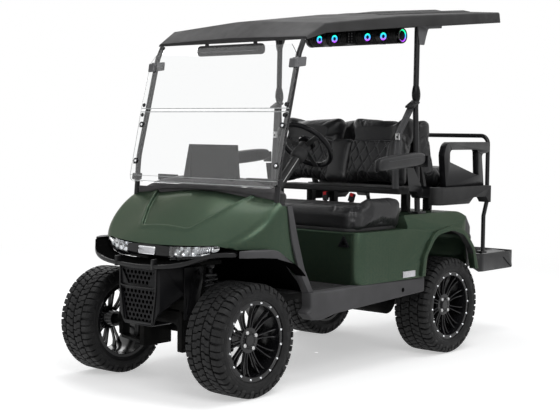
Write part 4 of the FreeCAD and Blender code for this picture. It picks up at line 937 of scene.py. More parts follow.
def lofted(name: str, rings: Sequence[Sequence[Point]], caps: bool = True) -> Object:
    """A skin through rings that have equal numbers of points.

    Args:
        name: The piece's name.
        rings: The rings of points, in order.
        caps: Whether the first and last rings are filled.

    Returns:
        The new piece.
    """
    count = len(rings[0])
    points = [p for ring in rings for p in ring]
    faces = grid_faces(len(rings), count, True, False)
    if caps:
        last = (len(rings) - 1) * count
        faces += [[*range(count)], [*range(last, last + count)]]
    return tidy(from_faces(name, points, faces))


def turned(name: str, profile: Sequence[Point], steps: int = 64, closed: bool = True) -> Object:
    """A profile of places along X and radii, turned about the X axis.

    Args:
        name: The piece's name.
        profile: Each point's place along X and its radius.
        steps: The runs round the axis.
        closed: Whether the profile is a loop of its own.

    Returns:
        The new piece.
    """
    points = []
    for step in range(steps):
        angle = math.tau * step / steps
        for x, radius in profile:
            points.append((x, radius * math.cos(angle), radius * math.sin(angle)))
    return tidy(from_faces(name, points, grid_faces(steps, len(profile), closed, True)))


def path_of(corners: Sequence[Point]) -> list[Vector]:
    """A path with its corners rounded.

    Args:
        corners: Each corner's three places and, where it is round, its radius.

    Returns:
        The path's points.
    """
    spots = [Vector(c[:3]) for c in corners]
    points = [spots[0]]
    for index in range(1, len(spots) - 1):
        radius = corners[index][3] if len(corners[index]) > 3 else 0.0
        points += arc_corner(spots[index - 1], spots[index], spots[index + 1], radius, CORNER_RUNS)
    return points + [spots[-1]]


def swept(name: str, path: Sequence[Vector], section: Sequence[Point],
          up: Point = (0, 0, 1)) -> Object:
    """A closed section carried along a path.

    Args:
        name: The piece's name.
        path: The path's points.
        section: The section's points, across the path and towards up.
        up: The direction that the section's second number points to.

    Returns:
        The new piece.
    """
    rings = []
    up_vector = Vector(up)
    for index, spot in enumerate(path):
        ahead = path[min(index + 1, len(path) - 1)] - path[max(index - 1, 0)]
        ahead.normalize()
        side = ahead.cross(up_vector).normalized()
        if index == 0:
            last_side = side
        if side.dot(last_side) < 0:
            side = -side
        last_side = side
        lift = side.cross(ahead).normalized()
        rings.append([tuple(spot + side * u + lift * v) for u, v in section])
    return lofted(name, rings)


def ring_of(wide: float, sides: int = 16, tall: float | None = None) -> list[tuple[float, float]]:
    """A closed ring of points, round unless its height is given too."""
    tall = wide if tall is None else tall
    turns = [math.tau * i / sides for i in range(sides)]
    return [(wide * math.cos(turn), tall * math.sin(turn)) for turn in turns]


def tube(name: str, corners: Sequence[Point], radius: float, up: Point = (0, 0, 1)) -> Object:
    """A round tube along a path with rounded corners."""
    return swept(name, path_of(corners), ring_of(radius), up)


def disc(name: str, radius: float, low: float, high: float, bevel: float = 0.001,
         sides: int = 24) -> Object:
    """A round plate or rod about the X axis with softened rims.

    Args:
        name: The piece's name.
        radius: Its radius.
        low: Where it starts along X.
        high: Where it ends along X.
        bevel: The width of its softened rims.
        sides: The number of its sides.

    Returns:
        The new piece.
    """
    profile = [
        (low, 0.0), (low, radius - bevel), (low + bevel, radius), (high - bevel, radius),
        (high, radius - bevel), (high, 0.0)]
    return turned(name, profile, sides, closed=False)


def facing(direction: Point, spot: Point) -> Matrix:
    """The placement that turns a piece drawn along X towards a direction, at a place."""
    turn = Vector((1, 0, 0)).rotation_difference(Vector(direction).normalized())
    return Matrix.Translation(Vector(spot)) @ turn.to_matrix().to_4x4()


def frame_copy(name: str, node: str, flat: float = 2.0) -> Object:
    """A merged copy of a frame part, with its flat faces made whole.

    Args:
        name: The new piece's name.
        node: The frame part.
        flat: Faces that meet below this many degrees become one.

    Returns:
        The copy.
    """
    shape = bmesh.new()
    shape.from_mesh(bpy.data.objects[node].data)
    bmesh.ops.remove_doubles(shape, verts=shape.verts, dist=MERGE)
    bmesh.ops.dissolve_limit(
        shape, angle_limit=math.radians(flat), verts=shape.verts, edges=shape.edges,
        delimit={"NORMAL"})
    mesh = bpy.data.meshes.new(name)
    shape.to_mesh(mesh)
    shape.free()
    return linked(name, mesh)


def geometry_tree(name: str, inputs: dict[str, tuple[str, Any]],
                  build: Callable[[Tree, Any], Any]) -> bpy.types.NodeTree:
    """Make a geometry tree that repeats a unit, and hand it out after that.

    Args:
        name: The tree's name.
        inputs: Socket kind and start value for each size.
        build: Adds the nodes and gives back the instances' socket.

    Returns:
        The tree, which ends in real geometry with its finish set.
    """
    group = bpy.data.node_groups.get(name)
    if group is not None:
        return group
    group = bpy.data.node_groups.new(name, "GeometryNodeTree")
    group.interface.new_socket("Unit", in_out="INPUT", socket_type="NodeSocketGeometry")
    for label, (kind, start) in inputs.items():
        socket = group.interface.new_socket(label, in_out="INPUT", socket_type=f"NodeSocket{kind}")
        if start is not None:
            socket.default_value = start
    group.interface.new_socket("Finish", in_out="INPUT", socket_type="NodeSocketMaterial")
    group.interface.new_socket("Result", in_out="OUTPUT", socket_type="NodeSocketGeometry")
    tree = Tree(group)
    entry, leave = tree.add("NodeGroupInput"), tree.add("NodeGroupOutput")
    instances = build(tree, entry.outputs)
    real = tree.add("GeometryNodeRealizeInstances", {"Geometry": instances})
    dressed_up = tree.add(
        "GeometryNodeSetMaterial",
        {"Geometry": real.outputs["Geometry"], "Material": entry.outputs["Finish"]})
    tree.join(dressed_up.outputs["Geometry"], leave.inputs["Result"])
    return group


def build_ring(tree: Tree, given: Any) -> Any:
    """Copies of a unit turned evenly about the X axis."""
    points = tree.add("GeometryNodeMeshLine", {"Count": given["Count"], "Offset": (0, 0, 0)})
    index = tree.add("GeometryNodeInputIndex").outputs["Index"]
    share = tree.math("DIVIDE", math.tau, given["Count"])
    angle = tree.math("ADD", tree.math("MULTIPLY", index, share), given["Start"])
    turn = tree.add("ShaderNodeCombineXYZ", {"X": angle}).outputs["Vector"]
    rotation = tree.add("FunctionNodeEulerToRotation", {"Euler": turn}).outputs["Rotation"]
    return tree.add(
        "GeometryNodeInstanceOnPoints",
        {"Points": points.outputs["Mesh"], "Instance": given["Unit"],
            "Rotation": rotation}).outputs["Instances"]


def build_row(tree: Tree, given: Any) -> Any:
    """Copies of a unit one step apart."""
    points = tree.add("GeometryNodeMeshLine", {"Count": given["Count"], "Offset": given["Step"]})
    return tree.add(
        "GeometryNodeInstanceOnPoints",
        {"Points": points.outputs["Mesh"], "Instance": given["Unit"]}).outputs["Instances"]


def build_seam(tree: Tree, given: Any) -> Any:
    """Copies of a unit, drawn along X, along the lines of a path."""
    path = tree.add("GeometryNodeObjectInfo", {"Object": given["Path"]})
    line = tree.add("GeometryNodeMeshToCurve", {"Mesh": path.outputs["Geometry"]})
    spots = tree.add(
        "GeometryNodeCurveToPoints", {"Curve": line.outputs["Curve"], "Length": given["Spacing"]},
        mode="LENGTH")
    turn = tree.add(
        "FunctionNodeAlignRotationToVector", {"Vector": spots.outputs["Tangent"]}, axis="X")
    return tree.add(
        "GeometryNodeInstanceOnPoints", {"Points": spots.outputs["Points"],
            "Instance": given["Unit"], "Rotation": turn.outputs["Rotation"]}).outputs["Instances"]


REPEATS: dict[str, tuple[dict[str, tuple[str, Any]], Callable]] = {
    "ring": ({"Count": ("Int", 8), "Start": ("Float", 0.0)}, build_ring),
    "row": ({"Count": ("Int", 8), "Step": ("Vector", (0.01, 0.0, 0.0))}, build_row),
    "seam": ({"Path": ("Object", None), "Spacing": ("Float", 0.006)}, build_seam)}


def repeated(unit: Object, kind: str, finish: Finish, **values: Any) -> Object:
    """Repeat a unit with one of the geometry trees, as plain geometry.

    Args:
        unit: The unit, which becomes the result.
        kind: One of the trees that repeat.
        finish: The result's finish.
        **values: The tree's sizes.

    Returns:
        The unit's object, now with every copy.
    """
    inputs, build = REPEATS[kind]
    group = geometry_tree(f"repeat_{kind}", inputs, build)
    modifier = unit.modifiers.new("Repeat", "NODES")
    modifier.node_group = group
    values["Finish"] = finish.material()
    for item in group.interface.items_tree:
        if item.item_type == "SOCKET" and item.in_out == "INPUT" and item.name in values:
            modifier[item.identifier] = values[item.name]
    return settled(unit)


def seam_line(name: str, points: Sequence[Point], spacing: float = 0.0065) -> Object:
    """Stitches along a line.

    Args:
        name: The piece's name.
        points: The line's points.
        spacing: The distance from stitch to stitch.

    Returns:
        The stitches.
    """
    path = from_faces(name + "_path", points, [])
    path.data.clear_geometry()
    path.data.from_pydata(
        [tuple(p) for p in points], [(i, i + 1) for i in range(len(points) - 1)], [])
    half, thick = spacing * 0.36, 0.0009
    unit = turned(
        name, [(-half, 0.0), (-half * 0.7, thick), (half * 0.7, thick), (half, 0.0)], 6,
        closed=False)
    stitches = repeated(unit, "seam", THREAD, Path=path, Spacing=spacing)
    bpy.data.objects.remove(path)
    return stitches


@dataclass
class Studio:
    """The plain floor, the soft lamps and the camera."""

    eye: Point = (4.3497, -5.3493, 1.2768)
    yaw: float = 40.924
    pitch: float = 3.816
    roll: float = 0.609
    lens: float = 77.99
    glow: float = 0.45
    sky: float = 0.4
    card: float = 0.82
    aim: Point = (0.0, -0.1, 0.8)
    lamps: tuple[tuple[str, Point, float, float, float], ...] = (
        ("key", (4.6, -3.2, 4.4), 3.4, 2.6, 125.0), ("top", (0.15, -0.1, 4.3), 1.5, 4.6, 105.0),
        ("rim", (-4.8, 2.6, 3.4), 2.4, 3.0, 60.0))

    def build(self) -> None:
        """Make the stage."""
        self.camera()
        self.world()
        self.floor()
        for name, spot, width, length, power in self.lamps:
            self.lamp(name, spot, width, length, power)
        bpy.context.scene.view_settings.view_transform = "Standard"

    def camera(self) -> None:
        """Stand the camera where the photograph was taken from."""
        yaw, pitch, roll = (math.radians(v) for v in (self.yaw, self.pitch, self.roll))
        ahead = Vector(
            (-math.sin(yaw) * math.cos(pitch), math.cos(yaw) * math.cos(pitch), -math.sin(pitch)))
        right = Vector((math.cos(yaw), math.sin(yaw), 0.0))
        up = right.cross(ahead)
        across = right * math.cos(roll) + up * math.sin(roll)
        upward = up * math.cos(roll) - right * math.sin(roll)
        data = bpy.data.cameras.new("camera")
        data.lens, data.sensor_width, data.clip_end = self.lens, 36.0, 200.0
        camera = bpy.data.objects.new("camera", data)
        bpy.context.scene.collection.objects.link(camera)
        turn = Matrix((across, upward, -ahead)).transposed().to_4x4()
        camera.matrix_world = Matrix.Translation(Vector(self.eye)) @ turn
        bpy.context.scene.camera = camera

    def seen(self, tree: Tree) -> Any:
        """Where light meets the eye at once, in gloss or through glass."""
        light = tree.add("ShaderNodeLightPath").outputs
        through = tree.math("MAXIMUM", light["Is Glossy Ray"], light["Is Transmission Ray"])
        return tree.math("MAXIMUM", light["Is Camera Ray"], through)

    def world(self) -> None:
        """Light from all round, and a white background for the camera and for gloss."""
        world = bpy.data.worlds.new("studio")
        bpy.context.scene.world = world
        world.use_nodes = True
        world.node_tree.nodes.clear()
        tree = Tree(world.node_tree)
        seen = self.seen(tree)
        soft = tree.add(
            "ShaderNodeBackground", {"Color": (0.98, 0.99, 1.0, 1.0), "Strength": self.sky})
        white = tree.add("ShaderNodeBackground", {"Color": WHITE, "Strength": 1.0})
        mix = tree.add("ShaderNodeMixShader", {0: seen, 1: soft.outputs[0], 2: white.outputs[0]})
        out = tree.add("ShaderNodeOutputWorld")
        tree.join(mix.outputs[0], out.inputs["Surface"])

    def floor(self) -> None:
        """A plain pale floor that fades into the background."""
        rings = [[(u, v, 0.0) for u, v in ring_of(r, 48)] for r in (0.01, 2.0, 6.0, 14.0, 60.0)]
        floor = lofted("floor", rings, caps=False)
        material = bpy.data.materials.new("floor_card")
        material.use_nodes = True
        material.node_tree.nodes.clear()
        tree = Tree(material.node_tree)
        where = tree.where()
        far = tree.spread(
            tree.add("ShaderNodeVectorMath", {0: where}, operation="LENGTH").outputs["Value"], 2.2,
            6.5)
        card = tree.add(
            "ShaderNodeBsdfPrincipled", {"Base Color": (self.card, self.card, self.card, 1.0),
                "Roughness": 0.85, "Specular IOR Level": 0.2})
        seen = self.seen(tree)
        lift = tree.add(
            "ShaderNodeEmission",
            {"Color": WHITE, "Strength": tree.math("MULTIPLY", seen, self.glow)})
        near = tree.add("ShaderNodeAddShader", {0: card.outputs[0], 1: lift.outputs[0]})
        white = tree.add("ShaderNodeEmission", {"Color": WHITE, "Strength": seen})
        mix = tree.add("ShaderNodeMixShader", {0: far, 1: near.outputs[0], 2: white.outputs[0]})
        tree.join(mix.outputs[0], tree.add("ShaderNodeOutputMaterial").inputs["Surface"])
        floor.data.materials.append(material)

    def lamp(self, name: str, spot: Point, width: float, length: float, power: float) -> None:
        """Hang one soft lamp that looks at the middle of the cart.

        Args:
            name: The lamp's name.
            spot: Where it hangs.
            width: Its size across.
            length: Its size the other way.
            power: Its power in watts.
        """
        data = bpy.data.lights.new(name, "AREA")
        data.shape, data.size, data.size_y, data.energy = "RECTANGLE", width, length, power
        lamp = bpy.data.objects.new(name, data)
        bpy.context.scene.collection.objects.link(lamp)
        aim = Vector(self.aim) - Vector(spot)
        lamp.matrix_world = (
            Matrix.Translation(Vector(spot)) @ aim.to_track_quat("-Z", "Y").to_matrix().to_4x4())


Station = tuple[tuple[float, float], tuple[float, float], float, float]


@dataclass
class Wheels:
    """Four spoked rims with all-terrain tyres, each drawn about the X axis first."""

    reach: float = 0.27
    pitches: int = 24
    spokes: int = 10
    bolts: int = 16
    bolt_ring: float = 0.1832
    corners: tuple[tuple[str, Body, float, float, float], ...] = (
        ("front_left", Body.WHEEL_FL, 1.0, FRONT_AXLE, 0.1),
        ("front_right", Body.WHEEL_FR, -1.0, FRONT_AXLE, 0.5),
        ("rear_left", Body.WHEEL_RL, 1.0, REAR_AXLE, 0.33),
        ("rear_right", Body.WHEEL_RR, -1.0, REAR_AXLE, 0.7))

    def build(self) -> None:
        """Make one rim and one tyre, and set them at each corner."""
        tyre, rim = self.tyre(), self.rim()
        for corner, body, side, axle, angle in self.corners:
            turn = Matrix.Rotation(0.0 if side > 0 else math.pi, 4, "Z")
            spin = Matrix.Rotation(angle, 4, "X")
            place = Matrix.Translation((side * TRACK, axle, AXLE_HEIGHT)) @ turn @ spin
            placed(copied(tyre, f"tread_{corner}", place), Slot.TYRE, f"tyre_{corner}", body=body)
            placed(copied(rim, f"spokes_{corner}", place), Slot.WHEEL, f"rim_{corner}", body=body)
        for thing in (tyre, rim):
            bpy.data.objects.remove(thing)

    def lug(self, name: str, stations: Sequence[Station], flip: bool) -> Object:
        """One tread block.

        Args:
            name: The block's name.
            stations: For each place across the tyre, its top and foot, as place and radius,
                and where it starts and ends round the tyre.
            flip: Whether it lies on the tyre's inner side.

        Returns:
            The block.
        """
        side = -1.0 if flip else 1.0
        rings = []
        for (top_x, top_r), (foot_x, foot_r), start, stop in stations:
            ring = []
            for x, radius, around in ((foot_x, foot_r, start - 0.0016), (top_x, top_r, start),
                                      (top_x, top_r, stop), (foot_x, foot_r, stop + 0.0016)):
                angle = around / self.reach
                ring.append((side * x, radius * math.cos(angle), radius * math.sin(angle)))
            rings.append(ring)
        return lofted(name, rings)

    def tread(self) -> Object:
        """The blocks of one pitch, repeated round the tyre."""
        pitch = math.tau * self.reach / self.pitches
        blocks = []
        for flip in (False, True):
            for part in range(2):
                start = part * pitch / 2 + (pitch * 0.24 if flip else 0.0)
                wide = pitch / 2 - 0.0072
                step = 0.0085 if part else 0.0115
                centre = [
                    ((x, 0.2744), (x, 0.2625), start + shift, start + shift + wide)
                    for x, shift in ((0.0035, 0.0), (0.021, 0.0), (0.03, step),
                        (0.0535, step + 0.003))]
                blocks.append(self.lug(f"centre_{flip}_{part}", centre, flip))
                lead = start + step + 0.0165
                ends = [
                    ((0.0605, 0.2741), (0.061, 0.2625)), ((0.093, 0.2733), (0.0915, 0.2605)),
                    ((0.104, 0.2672), (0.0985, 0.256)), ((0.1083, 0.256), (0.1032, 0.251)),
                    ((0.1094, 0.244 if part else 0.25), (0.106, 0.243 if part else 0.249))]
                if part:
                    ends.append(((0.1092, 0.2335), (0.1074, 0.233)))
                shoulder = [
                    (top, foot, lead + skew * 0.1, lead + skew * 0.1 + wide - 0.002)
                    for skew, (top, foot) in zip((0.0, 0.03, 0.04, 0.04, 0.04, 0.04), ends)]
                blocks.append(self.lug(f"shoulder_{flip}_{part}", shoulder, flip))
        unit = rounded(joined("tread_unit", blocks), 0.0012, 1, 30.0)
        return repeated(unit, "ring", TYRE, Count=self.pitches, Start=0.0)

    def tyre(self) -> Object:
        """The carcass with its tread and the raised rings of its sidewalls."""
        side = [
            (0.062, 0.263), (0.0905, 0.2615), (0.0985, 0.257), (0.1035, 0.251), (0.1062, 0.243),
            (0.1076, 0.233), (0.108, 0.229), (0.1092, 0.228), (0.1094, 0.2205), (0.1086, 0.2195),
            (0.1084, 0.216), (0.1091, 0.215), (0.1088, 0.2125), (0.1076, 0.2112), (0.1058, 0.207),
            (0.103, 0.2035), (0.1018, 0.2025), (0.1016, 0.199), (0.1, 0.1968), (0.088, 0.1966),
            (0.0878, 0.1826)]
        profile = [(0.0, 0.2636), *side, *[(-x, r) for x, r in reversed(side)]]
        carcass = painted(turned("carcass", profile, 96), TYRE)
        shaded(carcass, 40.0)
        tread = shaded(self.tread(), 25.0)
        return joined("tyre", [carcass, tread])

    def spoke(self, turn: float) -> Object:
        """One blade of a pair.

        Args:
            turn: Which side of the pair it is on, -1 or 1.

        Returns:
            The blade.
        """
        rings = []
        for radius, shift, wide, front, back in ((0.036, 0.006, 0.0105, 0.056, 0.03),
                                                 (0.06, 0.0072, 0.008, 0.054, 0.034),
                                                 (0.095, 0.0092, 0.0072, 0.0545, 0.036),
                                                 (0.13, 0.0125, 0.0072, 0.06, 0.038),
                                                 (0.155, 0.016, 0.008, 0.07, 0.044),
                                                 (0.1755, 0.0205, 0.0115, 0.085, 0.052)):
            middle, half = turn * shift, wide / 2
            rings.append(
                [(back, radius, middle - half), (front - 0.003, radius, middle - half),
                    (front, radius, middle - half + 0.002), (front, radius, middle + half - 0.002),
                    (front - 0.003, radius, middle + half), (back, radius, middle + half)])
        return lofted(f"spoke_{turn}", rings)

    def rim(self) -> Object:
        """The barrel, lips, spoke pairs, hub, cap, nuts and the ring of bright bolts."""
        barrel = turned(
            "barrel", [(0.0885, 0.1955), (0.0925, 0.1961), (0.0968, 0.195), (0.098, 0.1932),
                (0.098, 0.1772), (0.0972, 0.1762), (0.0972, 0.1738), (0.096, 0.1724),
                (0.086, 0.1712), (0.07, 0.169), (0.02, 0.166), (-0.05, 0.169), (-0.08, 0.1745),
                (-0.096, 0.176), (-0.098, 0.178), (-0.098, 0.1935), (-0.096, 0.196),
                (-0.0885, 0.1955), (-0.088, 0.1822), (-0.06, 0.1815), (0.06, 0.1815),
                (0.088, 0.1822)], 96)
        hub = turned(
            "hub", [(-0.02, 0.0152), (-0.02, 0.04), (0.024, 0.042), (0.04, 0.06), (0.05, 0.0625),
                (0.0545, 0.061), (0.056, 0.057), (0.0545, 0.033), (0.056, 0.031), (0.0625, 0.03),
                (0.065, 0.027), (0.0655, 0.024), (0.064, 0.023), (0.064, 0.0)], 48, closed=False)
        pair = joined("spoke_pair", [self.spoke(-1.0), self.spoke(1.0)])
        spokes = repeated(rounded(pair, 0.0008, 1, 30.0), "ring", WHEEL, Count=self.spokes)
        nut = disc("nut", 0.0105, 0.052, 0.0665, 0.002, 6)
        nut.data.transform(Matrix.Translation((0, 0.044, 0)))
        nuts = repeated(nut, "ring", BARE, Count=4, Start=0.4)
        bolt = turned(
            "bolt", [(0.0975, 0.0), (0.0975, 0.0056), (0.0992, 0.006), (0.1005, 0.005),
                (0.1022, 0.0044), (0.103, 0.0028), (0.1022, 0.0018), (0.1022, 0.0)], 12,
            closed=False)
        bolt.data.transform(Matrix.Translation((0, self.bolt_ring, 0)))
        bolts = repeated(bolt, "ring", BOLT, Count=self.bolts, Start=0.1)
        for thing in (barrel, hub):
            finished(thing, WHEEL, 35.0)
        for thing in (spokes, nuts, bolts):
            shaded(thing, 35.0)
        return joined("rim", [barrel, hub, spokes, nuts, bolts])


@dataclass
class Cowl:
    """The painted hood with its crisp shoulder and the recessed panel between its crests."""

    recess: tuple[Point, ...] = (
        (-0.345, -0.9), (0.345, -0.9), (0.25, -1.075, 0.08), (0.165, -1.197, 0.055),
        (-0.165, -1.197, 0.055), (-0.25, -1.075, 0.08))
    depth: float = 0.012
    wall: float = 0.012
    crest: float = 0.0052
    crest_width: float = 0.011
    foot: float = 0.74
    fine: float = 0.0045
    coarse: float = 0.017

    def build(self) -> None:
        """Refine the frame's cowl, press the recess in and paint it."""
        thing = frame_copy("hood", "front_cowl", 0.2)
        ring = np.array(outline(self.recess, 10))
        self.refine(thing, ring)
        points = spots_of(thing)
        inside = self.signed(points[:, :2], ring)
        share = np.clip(inside / self.wall + 0.5, 0.0, 1.0)
        share = share * share * (3 - 2 * share)
        crest = np.exp(-((inside + self.wall * 1.1) / self.crest_width) ** 2)
        top = points[:, 2] > self.foot
        points[:, 2] += np.where(top, crest * self.crest - share * self.depth, 0.0)
        set_spots(thing, points)
        placed(finished(thing, PAINT, 40.0), Slot.BODY_PAINT, "front_cowl")

    def refine(self, thing: Object, ring: np.ndarray) -> None:
        """Split long edges, down to a fine size near the recess's wall.

        Args:
            thing: The cowl.
            ring: The recess's outline from above.
        """
        with reshaped(thing) as shape:
            self.split(shape, ring)

    def split(self, shape: bmesh.types.BMesh, ring: np.ndarray) -> None:
        """Halve the long edges until none is left.

        Args:
            shape: The cowl's open mesh.
            ring: The recess's outline from above.
        """
        bmesh.ops.triangulate(shape, faces=shape.faces)
        for _ in range(8):
            edges = list(shape.edges)
            ends = np.array([[*e.verts[0].co, *e.verts[1].co] for e in edges])
            middle = (ends[:, :3] + ends[:, 3:]) / 2
            length = np.linalg.norm(ends[:, :3] - ends[:, 3:], axis=1)
            away = np.abs(self.signed(middle[:, :2], ring))
            near = (away < 0.022 + length * 0.5) & (middle[:, 2] > 0.73)
            limit = np.where(near, self.fine, self.coarse) * 1.5
            long = [edges[i] for i in np.nonzero(length > limit)[0]]
            if not long:
                break
            bmesh.ops.subdivide_edges(shape, edges=long, cuts=1)
            bmesh.ops.triangulate(shape, faces=[f for f in shape.faces if len(f.verts) > 3])

    def signed(self, spots: np.ndarray, ring: np.ndarray) -> np.ndarray:
        """How far inside an outline each place lies, negative outside.

        Args:
            spots: The places.
            ring: The outline's points.

        Returns:
            The signed distances.
        """
        distance = np.full(len(spots), 1e9)
        inside = np.zeros(len(spots), dtype=bool)
        for a, b in zip(ring, np.roll(ring, -1, axis=0)):
            edge = b - a
            share = np.clip(((spots - a) @ edge) / (edge @ edge), 0, 1)
            gap = np.linalg.norm(spots - a - share[:, None] * edge, axis=1)
            distance = np.minimum(distance, gap)
            crosses = (a[1] > spots[:, 1]) != (b[1] > spots[:, 1])
            where = a[0] + (spots[:, 1] - a[1]) * edge[0] / (edge[1] if edge[1] else 1e-9)
            inside ^= crosses & (spots[:, 0] < where)
        return np.where(inside, distance, -distance)


def along(table: Sequence[Point], x: float) -> list[float]:
    """The values of a table at a place, between its rows.

    Args:
        table: Rows that start with their place.
        x: The place.

    Returns:
        The values there.
    """
    places = [row[0] for row in table]
    return [
        float(np.interp(x, places, [row[i] for row in table])) for i in range(1, len(table[0]))]


@dataclass
class Nose:
    """Lamps, nose panel, bumper lip, arch flares and the lower grille moulding."""

    lamp: tuple[Point, ...] = (
        (0.15, -1.3105, 0.644, 0.707), (0.2, -1.3065, 0.645, 0.7095),
        (0.25, -1.296, 0.651, 0.7115), (0.31, -1.272, 0.666, 0.715), (0.372, -1.236, 0.693, 0.719))
    cups: tuple[tuple[float, float], ...] = ((0.18, 0.015), (0.226, 0.0165), (0.276, 0.015))
    mesh_pitch: float = 0.027

    def build(self) -> None:
        """Make every piece of the nose."""
        self.lamps()
        self.panel()
        self.lip()
        self.trims()
        self.fascia()
        self.grille()

    def lamp_rings(self, places: Sequence[float], ahead: float, low: float, high: float,
                   thick: float, bow: float) -> list[list[Point]]:
        """Rings of a curved sheet that follows the lamp's front.

        Args:
            places: Where the rings stand.
            ahead: How far behind the lamp's front the sheet lies.
            low: How far its foot is above the lamp's foot.
            high: How far its top is below the lamp's top.
            thick: The sheet's thickness.
            bow: How far its middle stands ahead of its edges.

        Returns:
            The rings.
        """
        rings = []
        for x in places:
            y, foot, top = along(self.lamp, x)
            foot, top = foot + low, top - high
            front, back = [], []
            for step in range(7):
                share = step / 6
                push = bow * math.sin(math.pi * share)
                z = foot + (top - foot) * share
                front.append((x, y + ahead - push, z))
                back.append((x, y + ahead + thick - push, z))
            rings.append(front + back[::-1])
        return rings

    def lamps(self) -> None:
        """Chrome bowls with bright cups and fins behind clear lenses."""
        places = [float(v) for v in np.linspace(0.151, 0.371, 12)]
        bowl = lofted("lamp_bowl", self.lamp_rings(places, 0.03, 0.002, 0.002, 0.002, -0.01))
        finished(bowl, BOWL, 50.0)
        frame = lofted("lamp_frame", self.lamp_rings(places, 0.006, -0.0005, 0.0455, 0.022, 0.0))
        painted(rounded(frame, 0.001), BLACK_GLOSS)
        parts = [bowl, frame]
        for x, radius in self.cups:
            y, foot, top = along(self.lamp, x)
            spot = (x, y + 0.02, (foot + top) / 2 + 0.001)
            cup = turned(
                "cup", [(0.0, radius), (0.0015, radius + 0.0012), (0.0, radius + 0.0024),
                    (-0.012, radius * 0.7), (-0.014, 0.004), (-0.013, 0.0)], 32, closed=False)
            finished(cup, CHROME, 60.0, facing((0.28, -1, 0), spot))
            bulb = turned(
                "bulb", [(-0.012, radius * 0.62), (-0.007, radius * 0.55), (-0.004, radius * 0.3),
                    (-0.003, 0.0)], 24, closed=False)
            finished(bulb, LAMP_WHITE, 80.0, facing((0.28, -1, 0), spot))
            parts += [cup, bulb]
        y, foot, top = along(self.lamp, 0.32)
        fin = stretched(
            "fin", Axis.Y, [(0.302, foot + 0.006), (0.304, foot + 0.006), (0.309, top - 0.008),
                (0.307, top - 0.008)], y - 0.004, y + 0.016, 0.0003)
        fins = repeated(fin, "row", CHROME, Count=6, Step=(0.0095, 0.0055, 0.0014))
        parts.append(shaded(fins, 30.0))
        inside = both(joined("lamp_inside", parts), "lamp_inside")
        placed(inside, Slot.LAMP)
        lens = lofted("lamp_lens", self.lamp_rings(places, 0.0, 0.0, 0.0, 0.0022, 0.0035))
        placed(both(finished(lens, LENS, 50.0), "lamp_lenses"), Slot.LAMP, "headlights")

    def panel(self) -> None:
        """The gloss nose panel with its bare plate."""
        rings = []
        for x in np.linspace(-0.1485, 0.1485, 25):
            lean = (abs(x) / 0.1485) ** 2
            y = -1.3165 + 0.0075 * lean
            top = 0.7095 - 0.004 * lean
            rings.append(
                [(x, y + 0.004, 0.6535), (x, y - 0.001, 0.656), (x, y - 0.004, 0.672),
                    (x, y - 0.003, 0.69), (x, y + 0.002, top), (x, y + 0.014, top),
                    (x, y + 0.016, 0.6535)])
        panel = finished(lofted("nose_panel", rings), BLACK_GLOSS, 50.0)
        rim = slab(
            "plate_rim", Axis.Y, (-0.058, 0.058, 0.6615, 0.7005), 0.008, -1.3245, -1.3165, 0.0012)
        face = slab(
            "plate_face", Axis.Y, (-0.053, 0.053, 0.666, 0.696), 0.005, -1.3256, -1.317, 0.0006)
        parts = [panel, finished(rim, CHROME), finished(face, SATIN)]
        placed(joined("nose_plate_panel", parts), Slot.DARK)

    def lip(self) -> None:
        """The thin crescent lip with a dished top, and the two arch flares; the dish and the
        flares' under and inner faces carry painted shade.
        """
        rail = [
            (0.0, -1.4125, 0.602), (0.1, -1.411, 0.603), (0.2, -1.404, 0.608),
            (0.28, -1.386, 0.62), (0.33, -1.364, 0.6345), (0.365, -1.34, 0.65),
            (0.395, -1.312, 0.664), (0.43, -1.282, 0.672), (0.468, -1.25, 0.674),
            (0.506, -1.218, 0.672)]
        inner = [
            (0.0, -1.29, 0.628), (0.1, -1.29, 0.628), (0.185, -1.286, 0.63), (0.25, -1.278, 0.636),
            (0.29, -1.268, 0.646), (0.325, -1.252, 0.658), (0.358, -1.234, 0.672),
            (0.395, -1.212, 0.682), (0.435, -1.19, 0.688), (0.48, -1.17, 0.69)]
        rings = []
        for side in (-1, 1):
            order = range(len(rail) - 1, 0, -1) if side < 0 else range(len(rail))
            for i in order:
                (x, y, z), (u, v, w) = rail[i], inner[i]
                x, u = side * x, side * u
                across = [(x + (u - x) * t, y + (v - y) * t) for t in (0.0, 0.04, 0.1, 0.3, 0.85)]
                tall = 0.02 + 0.006 * abs(x) / 0.5
                rings.append(
                    [(*across[0], z + 0.003), (*across[0], z + tall - 0.004),
                        (*across[1], z + tall), (*across[2], z + tall - 0.003),
                        (*across[3], z + tall - 0.006), (*across[4], w + 0.01), (u, v, w + 0.011),
                        (u, v, w - 0.002), (*across[4], w - 0.01), (*across[3], z - 0.001),
                        (*across[1], z)])
        lip = smoothed(lofted("lip", rings))
        finished(lip, GLOSS_TRIM, 50.0)
        # upward faces in the lip's dish get near-black: painted shade
        retouched(lip, PAINTED_SHADE, lambda c, n: n.z > 0.55 and c.y > -1.4 + abs(c.x) ** 3)
        flares = frame_copy("flares", "front_flares")
        without(flares, lambda spot: abs(spot.x) < 0.5057)
        finished(rounded(flares, 0.004, 3, 30.0), TRIM)
        # the flares' downward and inward faces get near-black: painted shade under and inside the
        # arches
        retouched(flares, PAINTED_SHADE, lambda c, n: n.z < -0.25 or n.x * c.x < -0.2)
        placed(joined("bumper_and_flares", [lip, flares]), Slot.TRIM, "front_flares")

    def trims(self) -> None:
        """The rocker covers and cowl edges, with painted shade inside the arches and on the plugs.
        """
        copy = finished(rounded(frame_copy("rockers", "side_trims"), 0.004, 3), TRIM)
